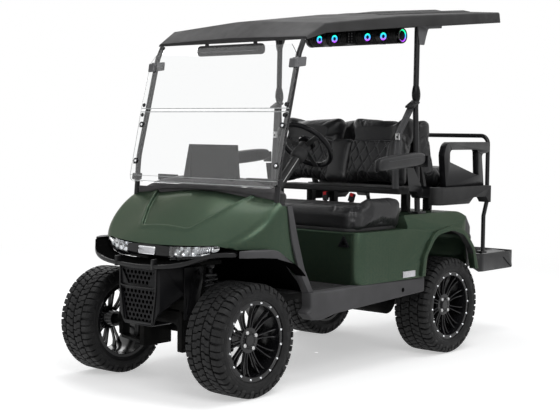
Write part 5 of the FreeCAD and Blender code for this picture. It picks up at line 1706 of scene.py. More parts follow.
        # inward and low-facing faces get near-black: painted shade inside the arches
        retouched(copy, PAINTED_SHADE, lambda c, n: n.x * c.x < -0.1 or (abs(c.x) < 0.5 and n.z < 0.3))
        plug = disc("plug", 0.013, 0.0, 0.0022, 0.001, 20)
        # the plugs take the near-black finish: painted shade
        finished(plug, PAINTED_SHADE, place=facing((1, 0, 0), (0.5636, 0.044, 0.411)))
        placed(joined("rockers_dressed", [copy, both(plug, "plugs")]), Slot.TRIM, "side_trims")

    def fascia(self) -> None:
        """The lower moulding with its frames, posts and side plates."""
        copy = finished(
            rounded(frame_copy("moulding", "front_fascia"), 0.003, 2, 30.0), DARK_GLOSS)
        parts = [copy]
        plate = stretched(
            "side_plate", Axis.X, [(-1.252, 0.345, 0.01), (-1.225, 0.352, 0.02),
                (-1.15, 0.43, 0.05), (-1.128, 0.52, 0.03), (-1.12, 0.604, 0.01), (-1.252, 0.604)],
            0.1872, 0.1915, 0.0015)
        recess = stretched(
            "plate_ridge", Axis.X, [(-1.236, 0.362, 0.008), (-1.224, 0.366, 0.01),
                (-1.204, 0.47, 0.05), (-1.176, 0.56, 0.04), (-1.15, 0.585), (-1.15, 0.592),
                (-1.19, 0.575, 0.04), (-1.222, 0.48, 0.05), (-1.242, 0.38, 0.01)], 0.1905, 0.1945,
            0.0012)
        parts.append(finished(both(joined("plates", [plate, recess]), "plates"), DARK_GLOSS))
        post = tube(
            "post", [(0.128, -1.3785, 0.612), (0.126, -1.38, 0.5, 0.03),
                (0.104, -1.3795, 0.345, 0.03), (0.096, -1.374, 0.33)], 0.0042)
        cross = tube(
            "crossbar", [(-0.124, -1.3795, 0.512), (-0.104, -1.3815, 0.5065, 0.02),
                (0.104, -1.3815, 0.5065, 0.02), (0.124, -1.3795, 0.512)], 0.0042)
        sill = tube("sill", [(-0.098, -1.378, 0.3345), (0.098, -1.378, 0.3345)], 0.005)
        horn = stretched(
            "horn", Axis.Y,
            [(0.118, 0.602), (0.136, 0.602), (0.133, 0.652, 0.006), (0.126, 0.652, 0.006)],
            -1.4105, -1.376, 0.0015)
        trim = joined("grille_frames", [both(post, "posts"), cross, sill, both(horn, "horns")])
        parts.append(finished(trim, GLOSS_TRIM, 40.0))
        placed(joined("grille_moulding", parts), Slot.TRIM, "front_fascia")

    def grille(self) -> None:
        """The perforated sheet: hexagon cells behind the two windows, over a near-black sheet of
        painted shade.
        """
        cell = turned(
            "cell", [(0.0, self.mesh_pitch * 0.577), (0.0, self.mesh_pitch * 0.41),
                (0.0045, self.mesh_pitch * 0.38), (0.0045, self.mesh_pitch * 0.577)], 6,
            closed=True)
        cell.data.transform(
            Matrix.Rotation(-math.pi / 2, 4, "Z") @ Matrix.Rotation(math.pi / 6, 4, "X"))
        rows = []
        step = self.mesh_pitch * 0.866
        for row in range(12):
            z = 0.342 + row * step
            reach = along(((0.334, 0.1), (0.49, 0.128), (0.62, 0.128)), z)[0]
            shift = self.mesh_pitch / 2 if row % 2 else 0.0
            count = int((reach - shift) // self.mesh_pitch) * 2 + (2 if row % 2 else 1)
            start = -self.mesh_pitch * (count - 1) / 2
            unit = copied(cell, f"cell_row_{row}", Matrix.Translation((start, -1.3645, z)))
            rows.append(
                repeated(unit, "row", DARK_GLOSS, Count=count, Step=(self.mesh_pitch, 0, 0)))
        bpy.data.objects.remove(cell)
        # a near-black sheet behind the cells: painted shade seen through the grille
        back = stretched(
            "grille_back", Axis.Y, [(-0.1, 0.33), (0.1, 0.33), (0.128, 0.49), (0.128, 0.608),
                (-0.128, 0.608), (-0.128, 0.49)], -1.3585, -1.357)
        sheet = joined("grille_cells", [shaded(t, 20.0) for t in rows])
        joined_up = joined("grille_sheet", [sheet, painted(back, PAINTED_SHADE)])
        placed(joined_up, Slot.DARK, "grille")


@dataclass
class Screen:
    """The two clear panes with their edge strips, the struts' bolts and clamps, and the mirror."""

    seam: float = 1.371
    bolts: tuple[Point, ...] = ((0.5, 1.1), (0.5, 1.294), (0.5, 1.612))

    def face(self, z: float) -> float:
        """Where the panes' front face lies at a height."""
        low, slope = (0.99, 86 / 381) if z <= self.seam else (self.seam, 87 / 324)
        start = at(-0.668) if z <= self.seam else at(-0.582)
        return start + (z - low) * slope

    def build(self) -> None:
        """Make the panes and what holds them."""
        panes = frame_copy("panes", "windshield", 1.0)
        painted(panes, PANE)
        panes.data.shade_flat()
        placed(panes, Slot.CLEAR, "windshield")
        strips = []
        for z, tall, half in ((self.seam - 0.0095, 0.004, 0.523),
                              (self.seam + 0.0075, 0.004, 0.523), (0.996, 0.003, 0.485),
                              (1.024, 0.0022, 0.522)):
            y = self.face(z)
            strips.append(
                stretched("strip", Axis.X, [(y - 0.0012, z - tall / 2), (y + 0.0002, z - tall / 2),
                    (y + 0.0002 + tall * 0.22, z + tall / 2),
                    (y - 0.0012 + tall * 0.22, z + tall / 2)], -half, half))
        placed(finished(joined("pane_strips", strips), FROST), Slot.CLEAR)
        self.fasteners()
        self.mirror()

    def fasteners(self) -> None:
        """Ring washers with bolts, hinges at the seam, pale clamps and the roof's brackets."""
        parts = []
        for x, z in self.bolts:
            y = self.face(z)
            washer = turned(
                "washer", [(0.0, 0.0095), (0.0, 0.015), (0.0035, 0.015), (0.005, 0.0135),
                    (0.005, 0.0105), (0.0035, 0.0095)], 32)
            finished(washer, STEEL, place=facing((0, -1, 0.22), (x, y, z)))
            bolt = disc("bolt", 0.0075, 0.0, 0.005, 0.0016, 24)
            finished(bolt, BOLT, place=facing((0, -1, 0.22), (x, y, z)))
            parts += [washer, bolt]
        for z in (self.seam - 0.026, self.seam + 0.026):
            y = self.face(z)
            hinge = disc("hinge", 0.011, 0.0, 0.006, 0.002, 24)
            parts.append(finished(hinge, DARK, place=facing((0, -1, 0.24), (0.505, y, z))))
        clamp = stretched(
            "clamp", Axis.X, [(-0.836, 1.576, 0.006), (-0.748, 1.588, 0.006),
                (-0.742, 1.634, 0.006), (-0.828, 1.622, 0.006)], 0.48, 0.5205, 0.003)
        parts.append(finished(clamp, GREY_PAD))
        bracket = stretched(
            "roof_bracket", Axis.X, [(0.205, 1.864, 0.006), (0.44, 1.87, 0.006),
                (0.44, 1.852, 0.006), (0.306, 1.84, 0.02), (0.284, 1.79, 0.02),
                (0.27, 1.748, 0.008), (0.226, 1.748, 0.008), (0.212, 1.81, 0.02)], 0.5165, 0.5225,
            0.0015)
        parts.append(finished(bracket, GREY_PAD))
        foot = stretched(
            "foot_clamp", Axis.X, [(at(-0.652), 0.998, 0.008), (at(-0.612), 0.998, 0.008),
                (at(-0.606), 1.034, 0.008), (at(-0.646), 1.034, 0.008)], 0.482, 0.519, 0.003)
        parts.append(finished(foot, STEEL))
        placed(both(joined("screen_bolts", parts), "screen_bolts"), Slot.BARE)

    def mirror(self) -> None:
        """A long rounded mirror case with its glass to the rear and two hangers."""
        case = stretched(
            "mirror_case", Axis.Y, [(-0.2345, 1.655, 0.02), (0.2345, 1.655, 0.02),
                (0.2345, 1.711, 0.024), (-0.2345, 1.711, 0.024)], at(-0.4515), at(-0.4245), 0.009)
        glass = stretched(
            "mirror_glass", Axis.Y, [(-0.222, 1.664, 0.016), (0.222, 1.664, 0.016),
                (0.222, 1.702, 0.018), (-0.222, 1.702, 0.018)], at(-0.426), at(-0.4238), 0.0006)
        hanger = stretched(
            "mirror_hanger", Axis.Y,
            [(0.16, 1.7), (0.184, 1.7), (0.181, 1.7345, 0.003), (0.163, 1.7345, 0.003)],
            at(-0.442), at(-0.432), 0.002)
        rim = tube("mirror_rim", [(-0.205, at(-0.452), 1.674), (0.205, at(-0.452), 1.674)], 0.003)
        parts = [
            finished(case, DARK, 50.0), finished(glass, CHROME),
            finished(both(hanger, "hangers"), STEEL), finished(rim, TRIM)]
        placed(joined("mirror_dressed", parts), Slot.DARK, "mirror")


@dataclass
class SoundBar:
    """The ribbed speaker bar with lit rings, under the roof."""

    y: float = at(0.619)
    z: float = 1.812
    radius: float = 0.0455
    half: float = 0.341
    drivers: tuple[float, ...] = (-0.231, -0.118, 0.123, 0.235)

    def build(self) -> None:
        """Make the bar, its drivers, its ribs and its clips."""
        core = turned(
            "bar_core", [(-self.half + 0.012, 0.0), (-self.half + 0.012, 0.038),
                (-self.half + 0.018, self.radius - 0.004),
                (self.half - 0.018, self.radius - 0.004), (self.half - 0.012, 0.038),
                (self.half - 0.012, 0.0)], 64, closed=False)
        place = Matrix.Translation((0, self.y, self.z))
        parts = [finished(core, DARK, place=place)]
        rib = turned(
            "bar_rib", [(-0.0022, self.radius - 0.005), (-0.0016, self.radius - 0.001),
                (0.0016, self.radius - 0.001), (0.0022, self.radius - 0.005)], 48)
        rib.data.transform(Matrix.Translation((-self.half + 0.03, 0, 0)))
        ribs = repeated(rib, "row", DARK, Count=41, Step=(0.0155, 0, 0))
        parts.append(moved(shaded(ribs, 30.0), place))
        for end in (-1.0, 1.0):
            ring = turned(
                "end_ring", [(0.0, 0.034), (0.006, 0.035), (0.006, self.radius - 0.003),
                    (0.0, self.radius), (-0.014, self.radius), (-0.014, 0.034)], 48)
            place_end = facing((end, 0, 0), (end * (self.half - 0.0065), self.y, self.z))
            parts.append(finished(ring, BLACK_GLOSS, place=place_end))
            lit = turned(
                "end_light", [(0.0015, 0.03), (0.003, 0.031), (0.003, 0.0345), (0.0015, 0.035),
                    (-0.004, 0.034), (-0.004, 0.03)], 48)
            parts.append(finished(lit, GLOW, place=place_end))
            cap = disc("end_cap", 0.0302, -0.01, 0.0012, 0.003, 40)
            parts.append(finished(cap, CONE, 50.0, place_end))
        for x in self.drivers:
            spot = facing((0, -1, 0.0), (x, self.y - self.radius + 0.0022, self.z - 0.003))
            parts += self.driver(spot)
        block = stretched(
            "controls", Axis.X, [(self.y - 0.0455, 1.776, 0.006), (self.y - 0.02, 1.772, 0.006),
                (self.y - 0.02, 1.852, 0.006), (self.y - 0.0455, 1.848, 0.006)], -0.034, 0.034,
            0.003)
        parts.append(finished(block, DARK_GLOSS))
        key = turned(
            "key", [(0.0, 0.0), (0.0, 0.0052), (0.0012, 0.0046), (0.0014, 0.0)], 16, closed=False)
        for column in (-0.011, 0.011):
            unit = copied(
                key, f"keys_{column}", facing((0, -1, 0), (column, self.y - 0.0452, 1.788)))
            parts.append(shaded(repeated(unit, "row", GREY_PAD, Count=4, Step=(0, 0, 0.0155))))
        bpy.data.objects.remove(key)
        strap = turned(
            "strap", [(-0.016, self.radius - 0.006), (-0.016, self.radius), (0.016, self.radius),
                (0.016, self.radius - 0.006)], 48)
        strap.data.transform(Matrix.Translation((0.1975, self.y, self.z)))
        arm = stretched(
            "strap_arm", Axis.Y, [(0.181, self.z + 0.04), (0.214, self.z + 0.04),
                (0.214, 1.925, 0.004), (0.181, 1.925, 0.004)], self.y - 0.012, self.y + 0.012,
            0.002)
        parts.append(finished(both(joined("straps", [strap, arm]), "straps"), STEEL))
        placed(joined("speaker_bar", parts), Slot.DARK, "sound_bar")

    def driver(self, spot: Matrix) -> list[Object]:
        """One speaker: a lit ring, its surround, cone and dust cap.

        Args:
            spot: Its placement.

        Returns:
            Its pieces.
        """
        outer = turned(
            "driver_rim", [(-0.022, 0.02), (-0.022, 0.026), (0.0008, 0.026), (0.0016, 0.0248),
                (0.0016, 0.0228), (0.0004, 0.0216)], 40)
        light = turned(
            "driver_light", [(0.0004, 0.0112), (0.0012, 0.012), (0.0012, 0.0208), (0.0004, 0.0216),
                (-0.004, 0.0212), (-0.004, 0.0112)], 40)
        cone = turned(
            "driver_cone", [(-0.001, 0.0114), (-0.006, 0.006), (-0.006, 0.0)], 40, closed=False)
        cap = turned(
            "driver_cap", [(-0.0058, 0.0056), (-0.003, 0.004), (-0.0018, 0.0)], 32, closed=False)
        result = []
        for thing, finish in ((outer, BLACK_GLOSS), (light, GLOW), (cone, CONE),
                              (cap, DARK_GLOSS)):
            result.append(finished(thing, finish, 60.0, spot))
        return result


@dataclass
class Cushion:
    """One pad, drawn facing -Y: swelled as cloth, then quilted and stitched."""

    name: str
    half: Point
    place: Matrix
    radius: float = 0.036
    crown: float = 0.012
    pull: float = 0.006
    slack: float = 0.006
    cap: float = 0.024
    voxel: float = 0.006
    corner: float = 0.03
    seams: tuple[tuple[float, ...], ...] = ()
    quilt: tuple[float, ...] = ()
    lumps: Callable[[np.ndarray], np.ndarray] | None = None
    cell: float = 0.016
    pressure: float = 4.0
    seam_depth: float = 0.006
    seam_width: float = 0.0052
    quilt_depth: float = 0.005
    edge: float = 0.006
    sink: float = 0.0022
    stitch: float = 0.0095
    stride: float = 0.012

    def build(self) -> Object:
        """Make the pad in its place, with its stitches."""
        pad = self.block()
        self.swell(pad)
        smoothed(pad)
        self.sew(pad)
        stitches = self.stitches(pad)
        finished(pad, VINYL, 180.0)
        return moved(joined(self.name, [pad, *stitches]), self.place)

    def block(self) -> Object:
        """The crowned closed form, its sides drawn in between its corners."""
        half = np.array(self.half) - self.slack
        points, faces = [], []
        for axis in range(3):
            first, second = (axis + 1) % 3, (axis + 2) % 3
            rows, columns = (max(3, round(half[k] * 2 / self.cell)) for k in (first, second))
            for sign in (-1.0, 1.0):
                start = len(points)
                for i in range(rows + 1):
                    for j in range(columns + 1):
                        spot = [0.0, 0.0, 0.0]
                        spot[axis] = sign * half[axis]
                        spot[first] = half[first] * (2 * i / rows - 1)
                        spot[second] = half[second] * (2 * j / columns - 1)
                        points.append(tuple(spot))
                for i in range(rows):
                    for j in range(columns):
                        corner = start + i * (columns + 1) + j
                        faces.append(
                            [corner, corner + 1, corner + columns + 2, corner + columns + 1])
        thing = tidy(from_faces(self.name, points, faces))
        spots = spots_of(thing)
        radius = min(self.radius, float(half.min()) * 0.98)
        inner = np.clip(spots, -(half - radius), half - radius)
        away = spots - inner
        spots = inner + away / np.linalg.norm(away, axis=1)[:, None] * radius
        plan = np.abs(spots[:, [0, 2]])
        past = plan - (half[[0, 2]] - self.corner)
        turning = (past > 0).all(axis=1)
        most = past.max(axis=1) / np.maximum(np.linalg.norm(past, axis=1), 1e-9)
        shrunk = half[[0, 2]] - self.corner + past * most[:, None]
        spots[:, [0, 2]] = np.where(
            turning[:, None], shrunk * np.sign(spots[:, [0, 2]]), spots[:, [0, 2]])
        share = spots / half
        bulge = (1 - share[:, 0] ** 2) * (1 - share[:, 2] ** 2)
        spots[:, 1] += np.where(share[:, 1] < 0, -self.crown * bulge * -share[:, 1], 0.0)
        spots[:, 0] -= share[:, 0] * self.pull * (1 - share[:, 2] ** 2)
        spots[:, 2] -= share[:, 2] * self.pull * (1 - share[:, 0] ** 2)
        if self.lumps is not None:
            spots[:, 1] -= self.lumps(spots) * np.clip(-share[:, 1] * 1.4, 0.0, 1.0)
        set_spots(thing, spots)
        return thing

    def swell(self, thing: Object) -> None:
        """Blow the pad up as cloth, flat at its back, no point further than the cap."""
        modified(thing, "REMESH", mode="VOXEL", voxel_size=self.voxel)
        settled(thing)
        before = spots_of(thing)
        cloth = thing.modifiers.new("Cloth", "CLOTH")
        cloth.settings.quality = 4
        cloth.settings.use_pressure = True
        cloth.settings.uniform_pressure_force = self.pressure
        cloth.settings.effector_weights.gravity = 0.0
        cloth.point_cache.frame_start, cloth.point_cache.frame_end = 1, CLOTH_FRAMES
        for frame in range(1, CLOTH_FRAMES + 1):
            bpy.context.scene.frame_set(frame)
        settled(thing)
        bpy.context.scene.frame_set(1)
        shift = spots_of(thing) - before
        size = np.linalg.norm(shift, axis=1)[:, None]
        shift *= np.minimum(1.0, self.cap / np.maximum(size, 1e-9))
        after = before + shift
        after[:, 1] = np.minimum(after[:, 1], self.half[1] - self.slack * 0.2)
        set_spots(thing, after)

    def depth(self, spots: np.ndarray) -> np.ndarray:
        """How deep the sewing pulls the skin in at each place."""
        across, up = spots[:, 0], spots[:, 2]
        result = np.zeros(len(spots))
        for ax, az, bx, bz in self.seams:
            start, edge = np.array([ax, az]), np.array([bx - ax, bz - az])
            away = np.stack([across, up], axis=1) - start
            share = np.clip(away @ edge / (edge @ edge), 0, 1)
            gap = np.linalg.norm(away - share[:, None] * edge, axis=1)
            result = np.maximum(result, self.seam_depth * np.exp(-(gap / self.seam_width) ** 2))
        if self.quilt:
            centre, reach, low, high, wide, tall = self.quilt
            u, v = (across - centre) / wide, (up - low) / tall
            scale = 1 / math.hypot(1 / wide, 1 / tall)
            mask = np.clip((reach - np.abs(across - centre)) / self.edge, 0, 1)
            for inward in (high - up, up - low):
                mask *= np.clip(inward / self.edge, 0, 1)
            nearest = np.minimum(np.abs(u + v - np.round(u + v)), np.abs(u - v - np.round(u - v)))
            gap = nearest * scale
            result = np.maximum(
                result, mask * self.quilt_depth * np.exp(-(gap / self.quilt_depth) ** 2))
            result -= mask * self.sink
        return result

    def sew(self, thing: Object) -> None:
        """Pull the skin in along the seams and the quilting."""
        spots = spots_of(thing)
        normals = spots_of(thing, "normal")
        front = np.clip((-normals[:, 1] - 0.2) / 0.4, 0.0, 1.0)
        spots -= normals * (self.depth(spots) * front)[:, None]
        set_spots(thing, spots)

    def stitches(self, thing: Object) -> list[Object]:
        """Threads along every seam, laid on the sewn skin."""
        lines = list(self.seams)
        if self.quilt:
            centre, reach, low, high, wide, tall = self.quilt
            count = int(2 * reach / wide + (high - low) / tall) + 3
            for number in range(-count, count + 1):
                for lean in (-1.0, 1.0):
                    ends = []
                    for step in range(41):
                        z = low + (high - low) * step / 40
                        x = centre + wide * (number - lean * (z - low) / tall)
                        if abs(x - centre) <= reach:
                            ends.append((x, z))
                    if len(ends) > 2:
                        lines.append((*ends[0], *ends[-1]))
        tree = BVHTree.FromPolygons(
            [v.co for v in thing.data.vertices], [f.vertices for f in thing.data.polygons])
        result = []
        for index, (ax, az, bx, bz) in enumerate(lines):
            path = []
            runs = max(2, round(math.hypot(bx - ax, bz - az) / self.stride))
            for step in range(runs + 1):
                share = step / runs
                spot = Vector((ax + (bx - ax) * share, -1.0, az + (bz - az) * share))
                hit = tree.ray_cast(spot, Vector((0, 1, 0)))[0]
                if hit is not None:
                    path.append(hit - Vector((0, 0.0004, 0)))
            if len(path) > 2:
                result.append(seam_line(f"{self.name}_thread_{index}", path, self.stitch))
        return result


def standing(x: float, y: float, z: float, lean: float, turn: float = 0.0) -> Matrix:
    """The place of a pad that leans back by some degrees, facing -Y unless it is turned."""
    return (
        Matrix.Translation((x, y, z)) @ Matrix.Rotation(math.radians(turn), 4, "Z")
        @ Matrix.Rotation(math.radians(-lean), 4, "X"))


@dataclass
class Seats:
    """Every cushion, its trims, the armrests and the belts."""

    def build(self) -> None:
        """Make the padded pieces and what belongs to them."""
        near = Cushion(
            "front_back_left", (0.221, 0.05, 0.209), standing(0.249, 0.2455, 1.155, 16.6), 0.04,
            0.01, seams=((0.112, -0.2, 0.112, 0.03), (0.112, 0.03, 0.165, 0.105),
                (-0.205, 0.046, 0.112, 0.046), (-0.205, 0.046, -0.205, -0.2)),
            quilt=(-0.047, 0.152, -0.196, 0.04, 0.068, 0.105), lumps=self.bolster).build()
        far = mirrored(near, "front_back_right")
        middle = Cushion(
            "front_back_middle", (0.087, 0.042, 0.138), standing(0.0, 0.198, 1.098, 16.6), 0.04,
            0.01, slack=0.004).build()
        placed(near, Slot.VINYL, "seat_backs")
        for thing in (far, middle):
            placed(thing, Slot.VINYL)
        bench = Cushion(
            "front_bench", (0.5275, 0.059, 0.237), standing(0, -0.121, 0.8028, 90.0), 0.036, 0.004,
            0.004, 0.003, 0.012, corner=0.085, seams=self.tiles(), lumps=self.ends).build()
        board = slab("bench_board", Axis.Z, (-0.508, 0.508, -0.34, 0.1), 0.08, 0.7428, 0.76, 0.002)
        placed(finished(board, DARK), Slot.DARK, body=Body.BENCH)
        placed(bench, Slot.VINYL, "seat_cushion", body=Body.BENCH)
        rear = Cushion(
            "rear_back_left", (0.217, 0.052, 0.176), standing(0.2375, 0.4615, 1.175, 11.5, 180.0),
            0.04, 0.01, seams=((-0.112, -0.165, -0.112, 0.028), (-0.205, 0.04, 0.205, 0.04)),
            quilt=(0.047, 0.15, -0.16, 0.034, 0.068, 0.105)).build()
        placed(rear, Slot.VINYL, "rear_backrests")
        other = mirrored(rear, "rear_back_right")
        placed(other, Slot.VINYL)
        cushion = Cushion(
            "rear_bench", (0.3875, 0.047, 0.1995), standing(0, 0.8265, 0.9928, 90.0), 0.04, 0.006,
            seams=((-0.12, -0.185, -0.12, 0.185), (0.12, -0.185, 0.12, 0.185))).build()
        placed(cushion, Slot.VINYL, "rear_cushion", body=Body.REAR_SEAT)
        self.armrests()
        self.belts()
        self.buckles()

    def bolster(self, spots: np.ndarray) -> np.ndarray:
        """The front back's thick roll at its top and its bolster at the outer side."""
        roll = np.clip((spots[:, 2] - 0.05) / 0.09, 0, 1) ** 2 * 0.01
        side = np.clip((spots[:, 0] - 0.112) / 0.05, 0, 1) * 0.016
        return roll + side

    def ends(self, spots: np.ndarray) -> np.ndarray:
        """The bench's raised ends, which start behind its front edge."""
        out = np.clip((np.abs(spots[:, 0]) - 0.435) / 0.045, 0, 1)
        behind = np.clip((spots[:, 2] + 0.15) / 0.085, 0, 1)
        out, behind = (v * v * (3 - 2 * v) for v in (out, behind))
        return out * behind * 0.052

    def tiles(self) -> tuple[tuple[float, ...], ...]:
        """The seams of the bench's pressed tiles, on its two places."""
        lines = []
        for side in (-1.0, 1.0):
            for step in range(5):
                x = side * (0.09 + step * 0.082)
                lines.append((x, -0.135, x, 0.165))
            for step in range(4):
                z = -0.135 + step * 0.1
                lines.append((side * 0.09, z, side * 0.418, z))
        return tuple(lines)

    def armrests(self) -> None:
        """Tapering padded arms with a seam, their brackets and bolts."""
        stations = (
            (-0.218, 1.074, 1.102, 0.01), (-0.212, 1.064, 1.118, 0.021),
            (-0.195, 1.0605, 1.128, 0.027), (-0.15, 1.0625, 1.136, 0.031),
            (-0.06, 1.068, 1.145, 0.032), (0.04, 1.075, 1.153, 0.032),
            (0.13, 1.084, 1.1575, 0.031), (0.185, 1.092, 1.156, 0.028), (0.202, 1.1, 1.148, 0.02),
            (0.206, 1.112, 1.138, 0.01))
        rings = []
        for y, low, high, wide in stations:
            middle, tall = (low + high) / 2, (high - low) / 2
            rings.append(
                [(0.57 + wide * math.copysign(abs(c) ** 0.6, c), y,
                    middle + tall * math.copysign(abs(s) ** 0.6, s)) for c, s in ring_of(1.0, 24)])
        pad = finished(smoothed(lofted("arm_pad", rings)), VINYL, 60.0)
        seam = seam_line(
            "arm_seam",
            [(0.6016, y, (low + high) / 2 + 0.012) for y, low, high, wide in stations[3:7]])
        frame = frame_copy("arm_bracket", "armrests")
        without(frame, lambda spot: spot.y < 0.205 and spot.z > 1.058 and abs(spot.x) > 0.537)
        finished(rounded(frame, 0.002), STEEL)
        bolt = disc("arm_bolt", 0.009, 0.0, 0.006, 0.002, 20)
        finished(bolt, BOLT, place=facing((1, 0, 0), (0.5375, 0.235, 1.095)))
        arms = both(joined("arms", [pad, seam, bolt]), "arms")
        placed(joined("armrests_padded", [arms, frame]), Slot.VINYL, "armrests")

    def belts(self) -> None:
        """Webbing from the guides on the struts, its sliders and its retractor covers."""
        path = path_of(
            [(0.5, 0.218, 1.438), (0.49, 0.2, 1.408, 0.02), (0.448, 0.145, 1.26, 0.06),
                (0.444, 0.125, 1.05, 0.06), (0.446, 0.123, 0.956)])
        half, thick = 0.0225, 0.0011
        web = swept(
            "web", path, [(-half, -thick), (-half * 0.9, -thick * 1.2), (half * 0.9, -thick * 1.2),
                (half, -thick), (half, thick), (half * 0.9, thick * 1.2),
                (-half * 0.9, thick * 1.2), (-half, thick)], (0, -1, 0.3))
        parts = [finished(web, WEBBING)]
        for shift in (-0.013, 0.013):
            rib = swept(
                "web_rib", path, [(shift - 0.003, thick), (shift + 0.003, thick),
                    (shift + 0.003, thick * 1.9), (shift - 0.003, thick * 1.9)], (0, -1, 0.3))
            parts.append(finished(rib, THREAD))
        guide = stretched(
            "belt_guide", Axis.X, [(0.176, 1.398, 0.008), (0.232, 1.428, 0.008),
                (0.228, 1.44, 0.006), (0.172, 1.41, 0.006)], 0.466, 0.526, 0.002)
        slider = stretched(
            "belt_slider", Axis.X, [(0.132, 1.222, 0.003), (0.142, 1.224, 0.003),
                (0.139, 1.262, 0.003), (0.129, 1.26, 0.003)], 0.434, 0.462, 0.0015)
        stud = disc("belt_stud", 0.006, 0.0, 0.004, 0.001, 16)
        moved(stud, facing((0, -1, 0.16), (0.448, 0.1315, 1.24)))
        rings = []
        for z, deep, wide in ((1.432, 0.012, 0.01), (1.44, 0.024, 0.019), (1.47, 0.03, 0.024),
                              (1.5, 0.026, 0.022), (1.53, 0.016, 0.015), (1.548, 0.007, 0.008)):
            rings.append(
                [(0.5 + u, 0.232 + v - (z - 1.432) * 0.05, z) for u, v in ring_of(wide, 20, deep)])
        cover = smoothed(lofted("belt_cover", rings))
        for thing, finish in ((guide, DARK), (slider, BARE), (stud, DARK), (cover, DARK_GLOSS)):
            parts.append(finished(thing, finish, 50.0))
        placed(both(joined("belts", parts), "belts"), Slot.WEBBING, "seat_belts")

    def buckles(self) -> None:
        """Two red-topped buckles on short stalks between the places."""
        parts = []
        for x, lean in ((-0.049, -0.18), (0.131, 0.22)):
            place = (
                Matrix.Translation((x, 0.128, 0.864)) @ Matrix.Rotation(lean, 4, "Y")
                @ Matrix.Rotation(-0.15, 4, "X"))
            stalk = slab("stalk", Axis.Z, (-0.01, 0.01, -0.002, 0.002), 0.0, -0.05, 0.01, 0.0008)
            body = slab(
                "buckle", Axis.Z, (-0.018, 0.018, -0.009, 0.009), 0.004, 0.005, 0.052, 0.002)
            top = slab(
                "buckle_top", Axis.Z, (-0.013, 0.013, -0.0095, 0.006), 0.003, 0.034, 0.0545,
                0.0015)
            for thing, finish in ((stalk, DARK), (body, DARK_GLOSS), (top, RED)):
                parts.append(finished(thing, finish, place=place))
        placed(joined("buckle_pair", parts), Slot.DARK)


